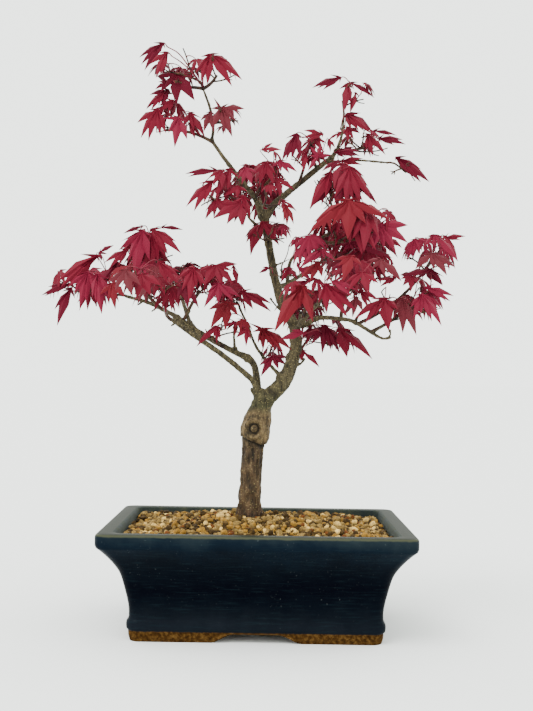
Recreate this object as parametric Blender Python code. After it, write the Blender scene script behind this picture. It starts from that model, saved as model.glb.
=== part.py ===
"""Potted japanese maple, trained as a bonsai: pot, soil, trunk, boughs and masses of leaves.

Every length below is in millimetres, from a point beside the foot of the trunk, at the level of the
underside of the pot's feet. X runs to the right, Y to the back and Z up. The last step centres the
whole plant on the origin.
"""

import math
import random

import bmesh
import bpy
from mathutils import Matrix, Vector, noise
from mathutils.bvhtree import BVHTree

MM = 0.001
WELD = 0.001
SLIVER = 0.003
PART_NAME = "potted_maple"
GAP = 0.3  # clear space between two neighbouring pieces
DOWN = Vector((0.0, 0.0, -1.0))

# Pot: an oblong of glazed stoneware on a low foot with a cloud-shaped arch in each side
POT_HALF = (131.4, 101.5)  # at the rim, across and deep
POT_MIDDLE = 2.7  # how far right of the tree's own origin the pot stands
RIM_HEIGHT = 91.0
POT_CORNER = 9.0
CORNER_STEPS = 3
FLOOR_TOP = 18.0
FOOT_RECESS = 8.5
FOOT_WALL = 15.0
# How far the wall stands inside the rim's outline, by height
WALL_PROFILE = [
    (0.0, 26.6), (4.5, 25.5), (8.7, 25.2), (10.2, 24.0), (13.2, 23.6), (16.6, 23.9), (19.4, 25.4),
    (29.0, 25.1), (43.0, 22.2), (56.0, 18.6), (64.0, 14.2), (70.5, 9.4), (76.0, 4.6), (79.6, 0.9),
    (82.0, 0.0), (90.0, 0.0), (91.0, 1.0),
]
CAVITY_PROFILE = [(91.0, 15.0), (84.0, 16.5), (66.0, 22.0), (45.0, 29.5), (18.0, 34.5)]
ARCH_HEIGHT = 7.5
FRONT_ARCH = (18.0, 39.5)  # half the flat of the arch, half its whole width
SIDE_ARCH = (12.0, 29.0)

# Soil: filled to just under the rim, mounded up to the trunk and lumpy with coarse gravel
SOIL_EDGE_DROP = 6.0
SOIL_TOP = 94.5
MOUND_FLAT = 0.2  # share of the bed that is level round the trunk
MOUND_STEPS = 7
SIDE_LUMPS = (11, 8)  # points along the bed's long and short sides
LUMP_HEIGHT = 1.9
LUMP_SIZE = 15.0
LUMP_LAYER = 6.5

# Trunk: middle and half-widths of its sections, from the cut at the soil to the fork
TRUNK_SECTIONS = [
    (-6.0, 3.0, 94.8, 12.4, 12.0), (-5.8, 2.8, 99.0, 10.9, 10.6), (-5.3, 2.5, 108.0, 10.0, 9.8),
    (-4.4, 2.0, 127.0, 9.5, 9.4), (-3.2, 1.2, 150.0, 9.3, 9.2), (-2.6, 1.0, 158.0, 9.7, 9.6),
    (-1.4, 0.6, 165.0, 12.2, 12.0), (-0.4, 0.2, 174.0, 13.6, 13.0), (1.0, 0.0, 184.0, 12.2, 11.6),
    (3.6, 0.0, 193.0, 8.1, 8.4), (5.8, 0.0, 197.5, 7.7, 8.0), (6.6, 0.0, 200.6, 9.6, 9.4),
    (7.0, 0.0, 203.5, 12.2, 11.6),
]
TRUNK_SIDES = 12
ROOT_LOBES = 5
ROOT_DEPTH = 1.6
ROOT_HEIGHT = 12.0
FORK_TILT = math.radians(22.0)  # the fork's face leans towards the main stem
FORK_FACE = Vector((math.sin(FORK_TILT), 0.0, math.cos(FORK_TILT)))

# Boughs: name, the limb that carries it, how far along, and its own knots (x, y, z, radius)
BOUGHS = [
    ("main_stem", "trunk", 1.0,
     [(10.6, 0, 203, 6.9), (16.5, 0, 209, 6.9), (24, 1, 219, 6.6), (32, 4, 240, 5.8), (35, 6, 255, 5.3)]),
    ("upper_stem", "main_stem", 1.0,
     [(35, 6, 255, 5.2), (31, 9, 270, 5.0), (22, 12, 286, 4.6), (15, 14, 308, 3.9),
      (9, 13, 338, 3.6), (5, 11, 358, 4.2), (4, 10, 368, 5.0)]),
    ("left_leader", "upper_stem", 1.0,
     [(1.2, 9, 367, 2.7), (-4, 5, 382, 2.6), (-14, 1, 395, 2.4), (-32, -4, 417, 1.8), (-44, -6, 432, 1.6)]),
    ("right_leader", "upper_stem", 1.0,
     [(7.4, 10.5, 367, 3.3), (12, 12, 376, 3.4), (25, 16, 389, 3.0), (40, 20, 402, 2.8),
      (56, 23, 416, 2.6), (67, 25, 425, 2.3)]),
    ("plume_bough", "left_leader", 1.0,
     [(-44, -6, 432, 1.5), (-43, -6, 441, 1.4), (-46, -7, 459, 1.3), (-53, -9, 478, 1.1)]),
    ("top_bough", "right_leader", 1.0,
     [(67, 25, 425, 1.9), (72, 26, 436, 1.5), (75, 27, 448, 1.3), (76, 28, 461, 1.1)]),
    ("right_tip_bough", "right_leader", 0.9,
     [(62, 24, 420, 1.3), (74, 22, 420, 1.2), (92, 18, 420, 1.1), (117, 12, 417, 1.0)]),
    ("right_middle_bough", "upper_stem", 0.28,
     [(22, 12, 286, 2.3), (25, 3, 293, 2.0), (26, -5, 310, 1.8), (29, -12, 325, 1.6),
      (41, -17, 333, 1.5), (59, -22, 346, 1.3)]),
    ("right_lateral_bough", "upper_stem", 0.09,
     [(33, 7, 262, 2.8), (42, 1, 267, 2.6), (54, -9, 273, 2.2), (75, -16, 272, 1.9),
      (86, -18, 269, 1.8), (102, -22, 259, 1.5), (110, -24, 255, 1.3), (117, -25, 256, 1.0)]),
    ("lower_right_bough", "main_stem", 0.72,
     [(32, 4, 240, 1.7), (40, 11, 246, 1.5), (46, 18, 256, 1.3), (49, 23, 264, 1.2)]),
    ("left_upper_bough", "trunk", 1.0,
     [(0.2, 5.0, 206, 3.7), (-0.6, 4, 218, 3.4), (-3, 3, 230, 3.0), (-9, 1, 236.5, 3.6),
      (-20, -2, 242, 2.6), (-37, -5, 251, 2.5), (-50, -8, 258, 2.6), (-63, -11, 266, 2.8),
      (-73, -12, 272, 2.5)]),
    ("left_fork_bough", "left_upper_bough", 1.0,
     [(-73, -12, 272, 2.4), (-80, -12, 276, 2.0), (-97, -10, 284, 1.8), (-111, -8, 288, 1.6),
      (-119, -6, 290, 1.4)]),
    ("left_lower_bough", "trunk", 1.0,
     [(0.2, -4.6, 206, 3.0), (-2.6, -7, 216, 2.8), (-9, -13, 223, 2.6), (-28, -22, 239, 2.4),
      (-47, -31, 252, 2.3), (-60, -37, 260, 2.1), (-73, -43, 269, 1.7)]),
    ("inner_bough", "main_stem", 0.3,
     [(22, 1, 216, 1.9), (14, 11, 228, 1.6), (5, 19, 238, 1.5), (-3, 24, 250, 1.4),
      (-9, 27, 265, 1.3), (-18, 30, 284, 1.2)]),
    ("front_bough", "upper_stem", 0.03,
     [(34, 6, 260, 2.5), (37, -12, 266, 2.3), (43, -34, 274, 2.0), (52, -62, 284, 1.6)]),
    ("back_low_bough", "main_stem", 0.9,
     [(34, 5, 249, 2.5), (36, 22, 257, 2.2), (38, 42, 270, 1.9), (40, 60, 280, 1.6)]),
    ("back_right_bough", "upper_stem", 0.42,
     [(16, 13, 302, 2.4), (26, 24, 306, 2.2), (42, 46, 318, 1.9), (60, 68, 332, 1.6)]),
    ("back_left_bough", "left_upper_bough", 0.82,
     [(-58, -10, 263, 2.2), (-63, 4, 271, 2.0), (-70, 28, 288, 1.8), (-78, 50, 306, 1.5)]),
    ("back_top_bough", "upper_stem", 0.9,
     [(5, 11, 360, 2.2), (3, 26, 366, 2.0), (1, 44, 380, 1.7), (0, 56, 390, 1.5)]),
]
BOUGH_STEP = 13.0

# Masses: name, limb, how far along, middle, half-sizes, number of leaves, length of a blade
MASSES = [
    ("plume_top", "plume_bough", 1.0, (-74, -8, 499), (40, 26, 24), 6, 34),
    ("plume_over", "plume_bough", 0.75, (-40, -14, 495), (27, 24, 21), 4, 36),
    ("plume_under", "plume_bough", 0.55, (-77, -2, 476), (27, 24, 15), 4, 30),
    ("plume_left", "left_leader", 0.96, (-82, 0, 450), (33, 27, 23), 8, 30),
    ("plume_right", "plume_bough", 0.3, (-33, -18, 450), (22, 21, 20), 5, 27),
    ("crown_left", "left_leader", 0.42, (-34, -18, 377), (35, 30, 22), 10, 30),
    ("crown_centre", "left_leader", 0.2, (6, 6, 405), (29, 26, 25), 9, 27),
    ("crown_front", "right_leader", 0.1, (4, -28, 376), (22, 18, 17), 5, 25),
    ("crown_low", "upper_stem", 0.86, (6, -14, 347), (27, 22, 18), 7, 26),
    ("crown_over", "right_leader", 0.5, (42, 8, 428), (28, 24, 22), 8, 27),
    ("top_right", "top_bough", 1.0, (75, 28, 484), (33, 24, 18), 5, 30),
    ("shoulder", "top_bough", 0.2, (96, 30, 443), (40, 30, 20), 10, 29),
    ("right_tip", "right_tip_bough", 1.0, (130, 8, 408), (22, 18, 14), 3, 28),
    ("right_upper", "right_middle_bough", 1.0, (70, 4, 390), (35, 30, 26), 10, 35),
    ("right_centre", "right_middle_bough", 0.85, (86, -32, 351), (43, 34, 26), 13, 38),
    ("right_inner", "right_middle_bough", 0.6, (46, -42, 328), (32, 24, 19), 8, 29),
    ("right_middle", "right_lateral_bough", 0.5, (95, -14, 320), (36, 32, 22), 9, 34),
    ("trunk_side", "right_middle_bough", 0.35, (19, -22, 312), (22, 17, 14), 3, 26),
    ("trunk_front", "front_bough", 0.5, (44, -52, 290), (36, 26, 22), 8, 38),
    ("far_right_top", "right_lateral_bough", 0.66, (154, 2, 334), (37, 30, 22), 8, 31),
    ("far_right_low", "right_lateral_bough", 0.8, (134, -10, 291), (43, 36, 25), 13, 34),
    ("lower_right", "lower_right_bough", 1.0, (65, 24, 257), (44, 32, 22), 9, 35),
    ("left_top", "left_fork_bough", 0.6, (-98, 2, 337), (35, 34, 22), 9, 40),
    ("left_outer", "left_fork_bough", 1.0, (-150, -16, 298), (45, 36, 26), 12, 40),
    ("left_middle", "left_fork_bough", 0.3, (-101, -44, 305), (34, 28, 23), 9, 37),
    ("left_inner", "left_upper_bough", 0.93, (-53, -6, 304), (31, 28, 22), 8, 31),
    ("left_centre", "inner_bough", 1.0, (-27, 18, 289), (38, 32, 24), 10, 32),
    ("left_low", "left_upper_bough", 0.52, (-32, -18, 262), (32, 24, 17), 5, 27),
    ("inner_low", "inner_bough", 0.4, (10, 36, 243), (21, 24, 20), 5, 28),
    ("back_left", "back_left_bough", 1.0, (-98, 82, 322), (47, 38, 26), 12, 37),
    ("back_right", "back_right_bough", 1.0, (90, 98, 350), (48, 40, 32), 14, 37),
    ("back_top", "back_top_bough", 1.0, (-2, 82, 400), (38, 34, 27), 10, 32),
    ("back_low", "back_low_bough", 1.0, (42, 92, 290), (40, 36, 25), 9, 35),
    ("front_left", "left_lower_bough", 1.0, (-76, -92, 289), (39, 34, 22), 9, 37),
    ("front_right", "front_bough", 1.0, (78, -98, 300), (40, 34, 24), 10, 37),
]

# The growth rule shared by every mass
SEED = 4100
LEAVES_PER_TWIG = 3
MASS_TRIES = 5
TWIG_SIDES = 4
STEM_RADII = (1.75, 1.5)
TWIG_RADII = (1.1, 0.9)
STALK_RADIUS = 0.5
STALK_FOOT = 0.7  # the foot's share of that radius, so that it stays inside its twig
STALK_SHARE = (0.2, 1.25)  # of the blade's length
STALK_BEND = -0.35
LEAF_NODES = (0.93, 0.84, 0.75, 0.66, 0.57, 0.48)
STEM_NODES = (0.6, 0.78, 0.92)
LEAF_TRIES = 300
TWIG_TRIES = 60
GOLDEN_ANGLE = math.pi * (3.0 - math.sqrt(5.0))
SPACE_MARGIN = 1.22
BLADE_THICKNESS = 1.3
BLADE_DROOP = 0.8
# One blade's edge: the angle and the distance from the hub of its tips and notches, in turn
BLADE_EDGE = [
    (0, 1.0), (25, 0.34), (50, 0.9), (80, 0.27), (112, 0.58),
    (248, 0.58), (280, 0.27), (310, 0.9), (335, 0.34),
]
BACK_SPLIT = 5  # the stalk meets the edge after this many points
BACK_NOTCH = 0.13
HUB_SHIFT = 0.1
# Leaves in front turn to the front and those behind turn to the back
TURN_FROM = 40.0
TURN_RANGE = 45.0

COLOURS = {
    "pot": ((0.012, 0.022, 0.035), 0.18),
    "soil": ((0.23, 0.15, 0.08), 0.95),
    "bark": ((0.16, 0.13, 0.07), 0.85),
    "leaf": ((0.24, 0.012, 0.03), 0.6),
}


def clear_scene():
    for obj in list(bpy.data.objects):
        bpy.data.objects.remove(obj, do_unlink=True)


def new_collection(name):
    collection = bpy.data.collections.new(name)
    bpy.context.scene.collection.children.link(collection)
    return collection


def material(name, look):
    colour, roughness = COLOURS[look]
    mat = bpy.data.materials.new(name)
    mat.use_nodes = True
    shader = mat.node_tree.nodes["Principled BSDF"]
    shader.inputs["Base Color"].default_value = (*colour, 1.0)
    shader.inputs["Roughness"].default_value = roughness
    shader.inputs["Metallic"].default_value = 0.0
    return mat


def add_mesh(name, verts, faces, collection, look=None):
    """An object from points in millimetres."""
    mesh = bpy.data.meshes.new(name)
    mesh.from_pydata([Vector(v) * MM for v in verts], [], faces)
    obj = bpy.data.objects.new(name, mesh)
    collection.objects.link(obj)
    if look:
        mesh.materials.append(material(name, look))
    return obj


def loft(rings):
    """Faces between rings of equal length, with both ends closed."""
    count = len(rings[0])
    verts = [point for ring in rings for point in ring]
    faces = [tuple(reversed(range(count)))]
    for i in range(len(rings) - 1):
        for j in range(count):
            k = (j + 1) % count
            faces.append((i * count + j, i * count + k, (i + 1) * count + k, (i + 1) * count + j))
    faces.append(tuple(range((len(rings) - 1) * count, len(rings) * count)))
    return verts, faces


# ---- pot and soil ------------------------------------------------------------------------------

def oblong(half_x, half_y, height, corner=POT_CORNER, sides=(1, 1)):
    """A rounded rectangle as a ring of points, anticlockwise from above, its sides in equal parts."""
    ring = []
    long_side, short_side = sides
    for sx, sy, start, parts in (
        (1, 1, 0, long_side), (-1, 1, 90, short_side), (-1, -1, 180, long_side), (1, -1, 270, short_side),
    ):
        for step in range(CORNER_STEPS + 1):
            angle = math.radians(start + 90.0 * step / CORNER_STEPS)
            ring.append((
                sx * (half_x - corner) + corner * math.cos(angle),
                sy * (half_y - corner) + corner * math.sin(angle),
                height,
            ))
        for step in range(1, parts):
            reach = 1.0 - 2.0 * step / parts
            if start in (0, 180):
                ring.append((sx * (half_x - corner) * reach, sy * half_y, height))
            else:
                ring.append((sx * half_x, sy * (half_y - corner) * reach, height))
    return ring


def inset_oblong(inset, height):
    return oblong(POT_HALF[0] - inset, POT_HALF[1] - inset, height)


def arch_outline(flat, spread):
    """Half the foot's arch: level in the middle, then an S-curve down to the ground."""
    outline = [(-spread, -1.0)]
    steps = 6
    for i in range(steps + 1):
        t = i / steps
        rise = 0.5 - 0.5 * math.cos(math.pi * t)
        outline.append((-spread + (spread - flat) * t, ARCH_HEIGHT * rise))
    return outline + [(-x, z) for x, z in reversed(outline)]


def arch_cutter(name, flat, spread, reach, across, cutters):
    """A bar with the arch's outline that runs under the whole pot, along Y or along X."""
    rings = []
    for end in (-reach, reach):
        ring = []
        for x, z in arch_outline(flat, spread):
            ring.append((x, end, z) if across == "Y" else (-end, x, z))
        rings.append(ring)
    verts, faces = loft(rings)
    cutter = add_mesh(name, verts, faces, cutters)
    cutter.hide_render = True
    cutter.display_type = "WIRE"
    return cutter


def cut(obj, cutter):
    modifier = obj.modifiers.new(cutter.name, "BOOLEAN")
    modifier.operation = "DIFFERENCE"
    modifier.object = cutter


def box_cutter(name, half_x, half_y, low, high, cutters):
    verts, faces = loft([oblong(half_x, half_y, low, 6.0), oblong(half_x, half_y, high, 6.0)])
    cutter = add_mesh(name, verts, faces, cutters)
    cutter.hide_render = True
    cutter.display_type = "WIRE"
    return cutter


def build_pot(parts, cutters):
    rings = [inset_oblong(inset, z) for z, inset in WALL_PROFILE]
    rings += [inset_oblong(inset, z) for z, inset in CAVITY_PROFILE]
    verts, faces = loft(rings)
    pot = add_mesh("pot", verts, faces, parts, "pot")
    foot_x = POT_HALF[0] - WALL_PROFILE[0][1] - FOOT_WALL
    foot_y = POT_HALF[1] - WALL_PROFILE[0][1] - FOOT_WALL
    cut(pot, box_cutter("foot_recess", foot_x, foot_y, -1.0, FOOT_RECESS, cutters))
    cut(pot, arch_cutter("front_arch", *FRONT_ARCH, 120.0, "Y", cutters))
    cut(pot, arch_cutter("side_arch", *SIDE_ARCH, 150.0, "X", cutters))
    return pot


def cavity_inset(height):
    """How far the pot's inner wall stands inside the rim's outline at a height."""
    for (z1, inset1), (z0, inset0) in zip(CAVITY_PROFILE, CAVITY_PROFILE[1:]):
        if z0 <= height <= z1:
            return inset0 + (inset1 - inset0) * (height - z0) / (z1 - z0)
    return CAVITY_PROFILE[0][1]


def soil_height(share):
    """Height of the bed, by the share of the way from the trunk to the wall."""
    if share <= MOUND_FLAT:
        return SOIL_TOP
    t = (share - MOUND_FLAT) / (1.0 - MOUND_FLAT)
    edge = RIM_HEIGHT - SOIL_EDGE_DROP
    return edge + (SOIL_TOP - edge) * (0.5 + 0.5 * math.cos(math.pi * t))


def lumpy(ring, share):
    """The ring raised and sunk as coarse gravel is, less so near the trunk."""
    swing = LUMP_HEIGHT * max(0.0, min(1.0, (share - MOUND_FLAT) / 0.25))
    return [
        (x, y, z + swing * max(-1.0, min(1.0, 2.4 * noise.noise(Vector((x, y, LUMP_LAYER)) / LUMP_SIZE))))
        for x, y, z in ring
    ]


def build_soil(parts):
    edge = RIM_HEIGHT - SOIL_EDGE_DROP
    rings = []
    for z in (FLOOR_TOP + GAP, 45.0, 66.0, edge):
        inset = cavity_inset(z) + GAP * 1.5
        rings.append(oblong(POT_HALF[0] - inset, POT_HALF[1] - inset, z, POT_CORNER, SIDE_LUMPS))
    wide_x = POT_HALF[0] - cavity_inset(edge) - GAP * 1.5
    wide_y = POT_HALF[1] - cavity_inset(edge) - GAP * 1.5
    for step in range(1, MOUND_STEPS + 1):
        share = 1.0 - (1.0 - MOUND_FLAT) * step / MOUND_STEPS
        height = soil_height(share)
        ring = oblong(wide_x * share, wide_y * share, height, POT_CORNER * share, SIDE_LUMPS)
        rings.append(lumpy(ring, share))
    verts, faces = loft(rings)
    return add_mesh("soil", verts, faces, parts, "soil")


# ---- trunk and boughs --------------------------------------------------------------------------

def build_trunk(parts):
    rings = []
    base = TRUNK_SECTIONS[0][2]
    top = TRUNK_SECTIONS[-1][2]
    for x, y, z, half_x, half_y in TRUNK_SECTIONS:
        root = max(0.0, 1.0 - (z - base) / ROOT_HEIGHT) * ROOT_DEPTH
        lean = FORK_TILT * max(0.0, (z - 184.0) / (top - 184.0))
        ring = []
        for side in range(TRUNK_SIDES):
            angle = math.tau * side / TRUNK_SIDES
            spread = root * math.cos(ROOT_LOBES * angle + 0.8)
            dx = (half_x + spread) * math.cos(angle)
            dy = (half_y + spread) * math.sin(angle)
            ring.append((x + dx * math.cos(lean), y + dy, z - dx * math.sin(lean)))
        rings.append(ring)
    verts, faces = loft(rings)
    return add_mesh("trunk", verts, faces, parts, "bark")


def smooth(knots, step):
    """Points on a Catmull-Rom curve through (x, y, z, radius) knots."""
    rows = [Vector(k) for k in knots]
    ends = [2.0 * rows[0] - rows[1]] + rows + [2.0 * rows[-1] - rows[-2]]
    points = [rows[0]]
    for a, b, c, d in zip(ends, ends[1:], ends[2:], ends[3:]):
        parts = max(1, round((c.xyz - b.xyz).length / step))
        for i in range(1, parts + 1):
            t = i / parts
            points.append(0.5 * (
                2.0 * b + (c - a) * t + (2.0 * a - 5.0 * b + 4.0 * c - d) * t * t
                + (3.0 * b - a - 3.0 * c + d) * t * t * t
            ))
    return points


def along(points, share):
    """The point at a share of a path's length, with what is left of the path after it."""
    lengths = [(b.xyz - a.xyz).length for a, b in zip(points, points[1:])]
    left = share * sum(lengths)
    for i, length in enumerate(lengths):
        if left <= length:
            return [points[i].lerp(points[i + 1], left / length)] + points[i + 1:]
        left -= length
    return [points[-1]]


def mesh_tree(obj):
    """The object's surface, in millimetres, for tests of what it meets."""
    bpy.context.view_layer.update()
    shape = obj.evaluated_get(bpy.context.evaluated_depsgraph_get()).to_mesh()
    tree = BVHTree.FromPolygons(
        [v.co / MM for v in shape.vertices], [tuple(p.vertices) for p in shape.polygons]
    )
    obj.evaluated_get(bpy.context.evaluated_depsgraph_get()).to_mesh_clear()
    return tree


def outside(tree, point, clearance):
    spot, normal, _, distance = tree.find_nearest(point)
    return distance >= clearance and (point - spot).dot(normal) > 0.0


def across(direction):
    """Two directions at right angles to the one given."""
    side = direction.cross(Vector((0.0, 0.0, 1.0)))
    if side.length < 0.1:
        side = direction.cross(Vector((1.0, 0.0, 0.0)))
    side.normalize()
    return side, direction.cross(side).normalized()


def bend_room(radius, bend):
    """A first stretch long enough for the limb to bend after it without folding."""
    return radius * (0.3 + math.tan(min(bend, 1.2) / 2.0))


def seated(knots, parent, share, paths):
    """The knots with a first stretch square to the surface that the limb grows from."""
    first, second = Vector(knots[0]), Vector(knots[1])
    if parent == "trunk":
        spot = Vector(TRUNK_SECTIONS[-1][:3])
        face, rise = FORK_FACE, 0.0
    else:
        limb = paths[parent]
        rest = along(limb, share)
        spot = rest[0].xyz
        if share == 1.0:
            face, rise = (limb[-1].xyz - limb[-2].xyz).normalized(), 0.0
        else:
            axis = (rest[1].xyz - spot).normalized()
            way = second.xyz - first.xyz
            face, rise = (way - axis * way.dot(axis)).normalized(), rest[0].w * 0.8
    if share == 1.0:
        start = first.xyz - face * ((first.xyz - spot).dot(face) - GAP * 1.2)
    else:
        start = spot + face * rise
    bend = face.angle((second.xyz - start).normalized())
    lead = bend_room(first.w, bend) + (rest[0].w * 0.3 if share < 1.0 else 0.0)
    return [(*start, first.w), (*(start + face * lead), first.w)] + list(knots[1:])


def clear_of(points, tree, reach=26.0):
    """The path with its start moved along it until its end face is clear of the limb it grows on."""
    total = sum((b.xyz - a.xyz).length for a, b in zip(points, points[1:]))
    travelled = 0.0
    while travelled < reach:
        rest = along(points, travelled / total)
        if (rest[1].xyz - rest[0].xyz).length < 0.25 * rest[0].w and len(rest) > 2:
            rest = [rest[0]] + rest[2:]
        heading = (rest[1].xyz - rest[0].xyz).normalized()
        u, v = across(heading)
        face = [
            rest[0].xyz + rest[0].w * share * (u * math.cos(a) + v * math.sin(a))
            for a in (math.tau * i / 24 for i in range(24))
            for share in (0.0, 0.4, 0.7, 0.9, 1.03)
        ]
        if all(outside(tree, point, GAP) for point in face):
            return rest
        travelled += 0.1
    raise ValueError("a limb never leaves the one it grows on")


def curve_tube(name, points, collection, look, resolution):
    """A tapering limb: a curve with a round bevel, turned into a closed mesh."""
    curve = bpy.data.curves.new(name, "CURVE")
    curve.dimensions = "3D"
    curve.bevel_depth = MM
    curve.bevel_resolution = resolution
    curve.use_fill_caps = True
    spline = curve.splines.new("POLY")
    spline.points.add(len(points) - 1)
    for spot, point in zip(spline.points, points):
        spot.co = (*(point.xyz * MM), 1.0)
        spot.radius = point.w
    rough = bpy.data.objects.new(name + "_curve", curve)
    bpy.context.scene.collection.objects.link(rough)
    bpy.context.view_layer.update()
    mesh = bpy.data.meshes.new_from_object(rough.evaluated_get(bpy.context.evaluated_depsgraph_get()))
    bpy.data.objects.remove(rough, do_unlink=True)
    shape = bmesh.new()
    shape.from_mesh(mesh)
    bmesh.ops.remove_doubles(shape, verts=shape.verts, dist=0.00001)
    bmesh.ops.recalc_face_normals(shape, faces=shape.faces)
    shape.to_mesh(mesh)
    shape.free()
    mesh.name = name
    mesh.materials.clear()
    mesh.materials.append(material(name, look))
    obj = bpy.data.objects.new(name, mesh)
    collection.objects.link(obj)
    return obj


def build_boughs(parts, trees, paths):
    for name, parent, share, knots in BOUGHS:
        points = clear_of(smooth(seated(knots, parent, share, paths), BOUGH_STEP), trees[parent])
        resolution = 2 if knots[0][3] > 4.0 else 1
        obj = curve_tube(name, points, parts, "bark", resolution)
        paths[name] = points
        trees[name] = mesh_tree(obj)


# ---- masses of leaves --------------------------------------------------------------------------

def twig_shape(points, sides=TWIG_SIDES):
    """A tapering twig with few sides through (x, y, z, radius) points."""
    rings = []
    heading = (points[1].xyz - points[0].xyz).normalized()
    u, v = across(heading)
    for i, point in enumerate(points):
        ahead = points[min(i + 1, len(points) - 1)].xyz - points[max(i - 1, 0)].xyz
        heading = ahead.normalized()
        u = (u - heading * u.dot(heading)).normalized()
        v = heading.cross(u)
        rings.append([
            point.xyz + point.w * (u * math.cos(a) + v * math.sin(a))
            for a in (math.tau * k / sides for k in range(sides))
        ])
    return loft(rings)


def blade_outline(hub, forward, up, length, grow):
    """The blade's edge: five tips with notches between them, bent down as they reach out."""
    side = up.cross(forward)
    outline = []
    for angle, share in BLADE_EDGE:
        way = forward * math.cos(math.radians(angle)) + side * math.sin(math.radians(angle))
        bent = (way + DOWN * BLADE_DROOP * share).normalized()
        outline.append(hub + bent * (share * length + grow))
    return outline


def fans(outline, apex, offset=0):
    """Faces from each pair of neighbours on an edge to one apex."""
    count = len(outline)
    return [(outline[i], outline[(i + 1) % count], apex) for i in range(offset, count)]


def blade(hub, forward, up, length, grow=0.0):
    """The blade alone: two fans of faces on one edge."""
    verts = blade_outline(hub, forward, up, length, grow) + [hub - forward * BACK_NOTCH * length]
    count = len(verts)
    middle = hub + forward * HUB_SHIFT * length
    half = up * (BLADE_THICKNESS / 2 + grow)
    faces = fans(range(count), count)
    faces += [(b, a, apex) for a, b, apex in fans(range(count), count + 1)]
    return verts + [middle + half, middle - half], faces


def leaf(base, hub, forward, up, length):
    """A blade and its three-sided stalk as one closed shape, the stalk's end being the blade's back."""
    way = (hub - base).normalized()
    side = up.cross(forward)
    above = way.dot(up) <= 0.0
    side = (side - way * way.dot(side)).normalized()
    back = way.cross(side)
    if back.dot(forward + up * (0.5 if above else -0.5)) > 0.0:
        back = -back
    corners = [side * STALK_RADIUS, back * STALK_RADIUS * 1.2, -side * STALK_RADIUS]
    edge = blade_outline(hub, forward, up, length, 0.0)
    split = BACK_SPLIT
    ring = [hub + corner for corner in corners]
    verts = edge[:split] + ring + edge[split:]
    count = len(verts)
    left, hind, right = split, split + 1, split + 2
    whole = list(range(count))
    short = [i for i in whole if i != hind]
    top, bottom = (short, whole) if above else (whole, short)
    middle = hub + forward * HUB_SHIFT * length
    verts += [middle + up * BLADE_THICKNESS / 2, middle - up * BLADE_THICKNESS / 2]
    faces = fans(top, count)
    faces += [(b, a, apex) for a, b, apex in fans(bottom, count + 1)]
    verts += [base + corner * STALK_FOOT for corner in corners]
    foot = {left: count + 2, hind: count + 3, right: count + 4}
    loop = [right, left, hind] if above else [left, right, hind]
    for a, b in zip(loop, loop[1:] + loop[:1]):
        faces.append((a, b, foot[b], foot[a]))
    faces.append(tuple(foot[i] for i in loop))
    return verts, faces


def tree_of(shape):
    return BVHTree.FromPolygons([Vector(v) for v in shape[0]], shape[1])


def middle_and_reach(shape):
    verts = [Vector(v) for v in shape[0]]
    middle = sum(verts, Vector()) / len(verts)
    return middle, max((v - middle).length for v in verts)


class Grown:
    """Everything grown so far, with a quick test of what a new piece would meet."""

    def __init__(self):
        self.items = []
        self.limbs = {}

    def forget(self, owner):
        self.items = [item for item in self.items if item[3] != owner]

    def add(self, shape, owner):
        item = (*middle_and_reach(shape), tree_of(shape), owner)
        self.items.append(item)

    def meets_limb(self, shape, skip=""):
        tree = tree_of(shape)
        return any(tree.overlap(limb) for name, limb in self.limbs.items() if name != skip)

    def meets(self, shape, skip=()):
        tree = tree_of(shape)
        middle, reach = middle_and_reach(shape)
        for spot, size, other, owner in self.items:
            if owner in skip:
                continue
            if (spot - middle).length < size + reach and tree.overlap(other):
                return True
        return False


def in_space(point, middle, half, margin):
    return sum(((point[i] - middle[i]) / half[i]) ** 2 for i in range(3)) <= margin * margin


def bowed(start, end, radii, rng, bow=0.12):
    """A gently bowed twig between two points."""
    length = (end - start).length
    u, v = across((end - start).normalized())
    turn = rng.uniform(0.0, math.tau)
    lift = (u * math.cos(turn) + v * math.sin(turn)) * bow * length
    points = []
    for i in range(3):
        t = i / 2
        spot = start.lerp(end, t) + lift * 4.0 * t * (1.0 - t)
        points.append(Vector((*spot, radii[0] + (radii[1] - radii[0]) * t)))
    return points


def swollen(points, extra):
    return [Vector((*p.xyz, p.w + extra)) for p in points]


def grow_stem(mass, paths, trees, grown, rng):
    """The mass's one stem, from its limb to just under the middle of its space."""
    name, parent, share, middle, half, _, _ = mass
    root = along(paths[parent], share)[0].xyz
    heart = Vector(middle) - Vector((0.0, 0.0, 0.35 * half[2]))
    for attempt in range(TWIG_TRIES):
        aim = heart + Vector([rng.uniform(-0.3, 0.3) * h * min(1.0, attempt / 6) for h in half])
        if share == 1.0:
            limb = paths[parent]
            heading = (limb[-1].xyz - limb[-2].xyz).normalized()
            lead = root + heading * 5.0
            knots = [(*root, STEM_RADII[0]), (*lead, STEM_RADII[0]), (*aim, STEM_RADII[1])]
            points = smooth(knots, 14.0)
        else:
            points = bowed(root, aim, STEM_RADII, rng)
        points = clear_of(points, trees[parent])
        free = [points[0].lerp(points[1], 0.3)] + points[1:]
        whole = twig_shape(swollen(points, GAP))
        if grown.meets_limb(twig_shape(swollen(free, GAP))) or grown.meets_limb(whole, parent):
            continue
        if not grown.meets(whole):
            return points
    raise ValueError("no clear way for the stem of " + name)


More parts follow.
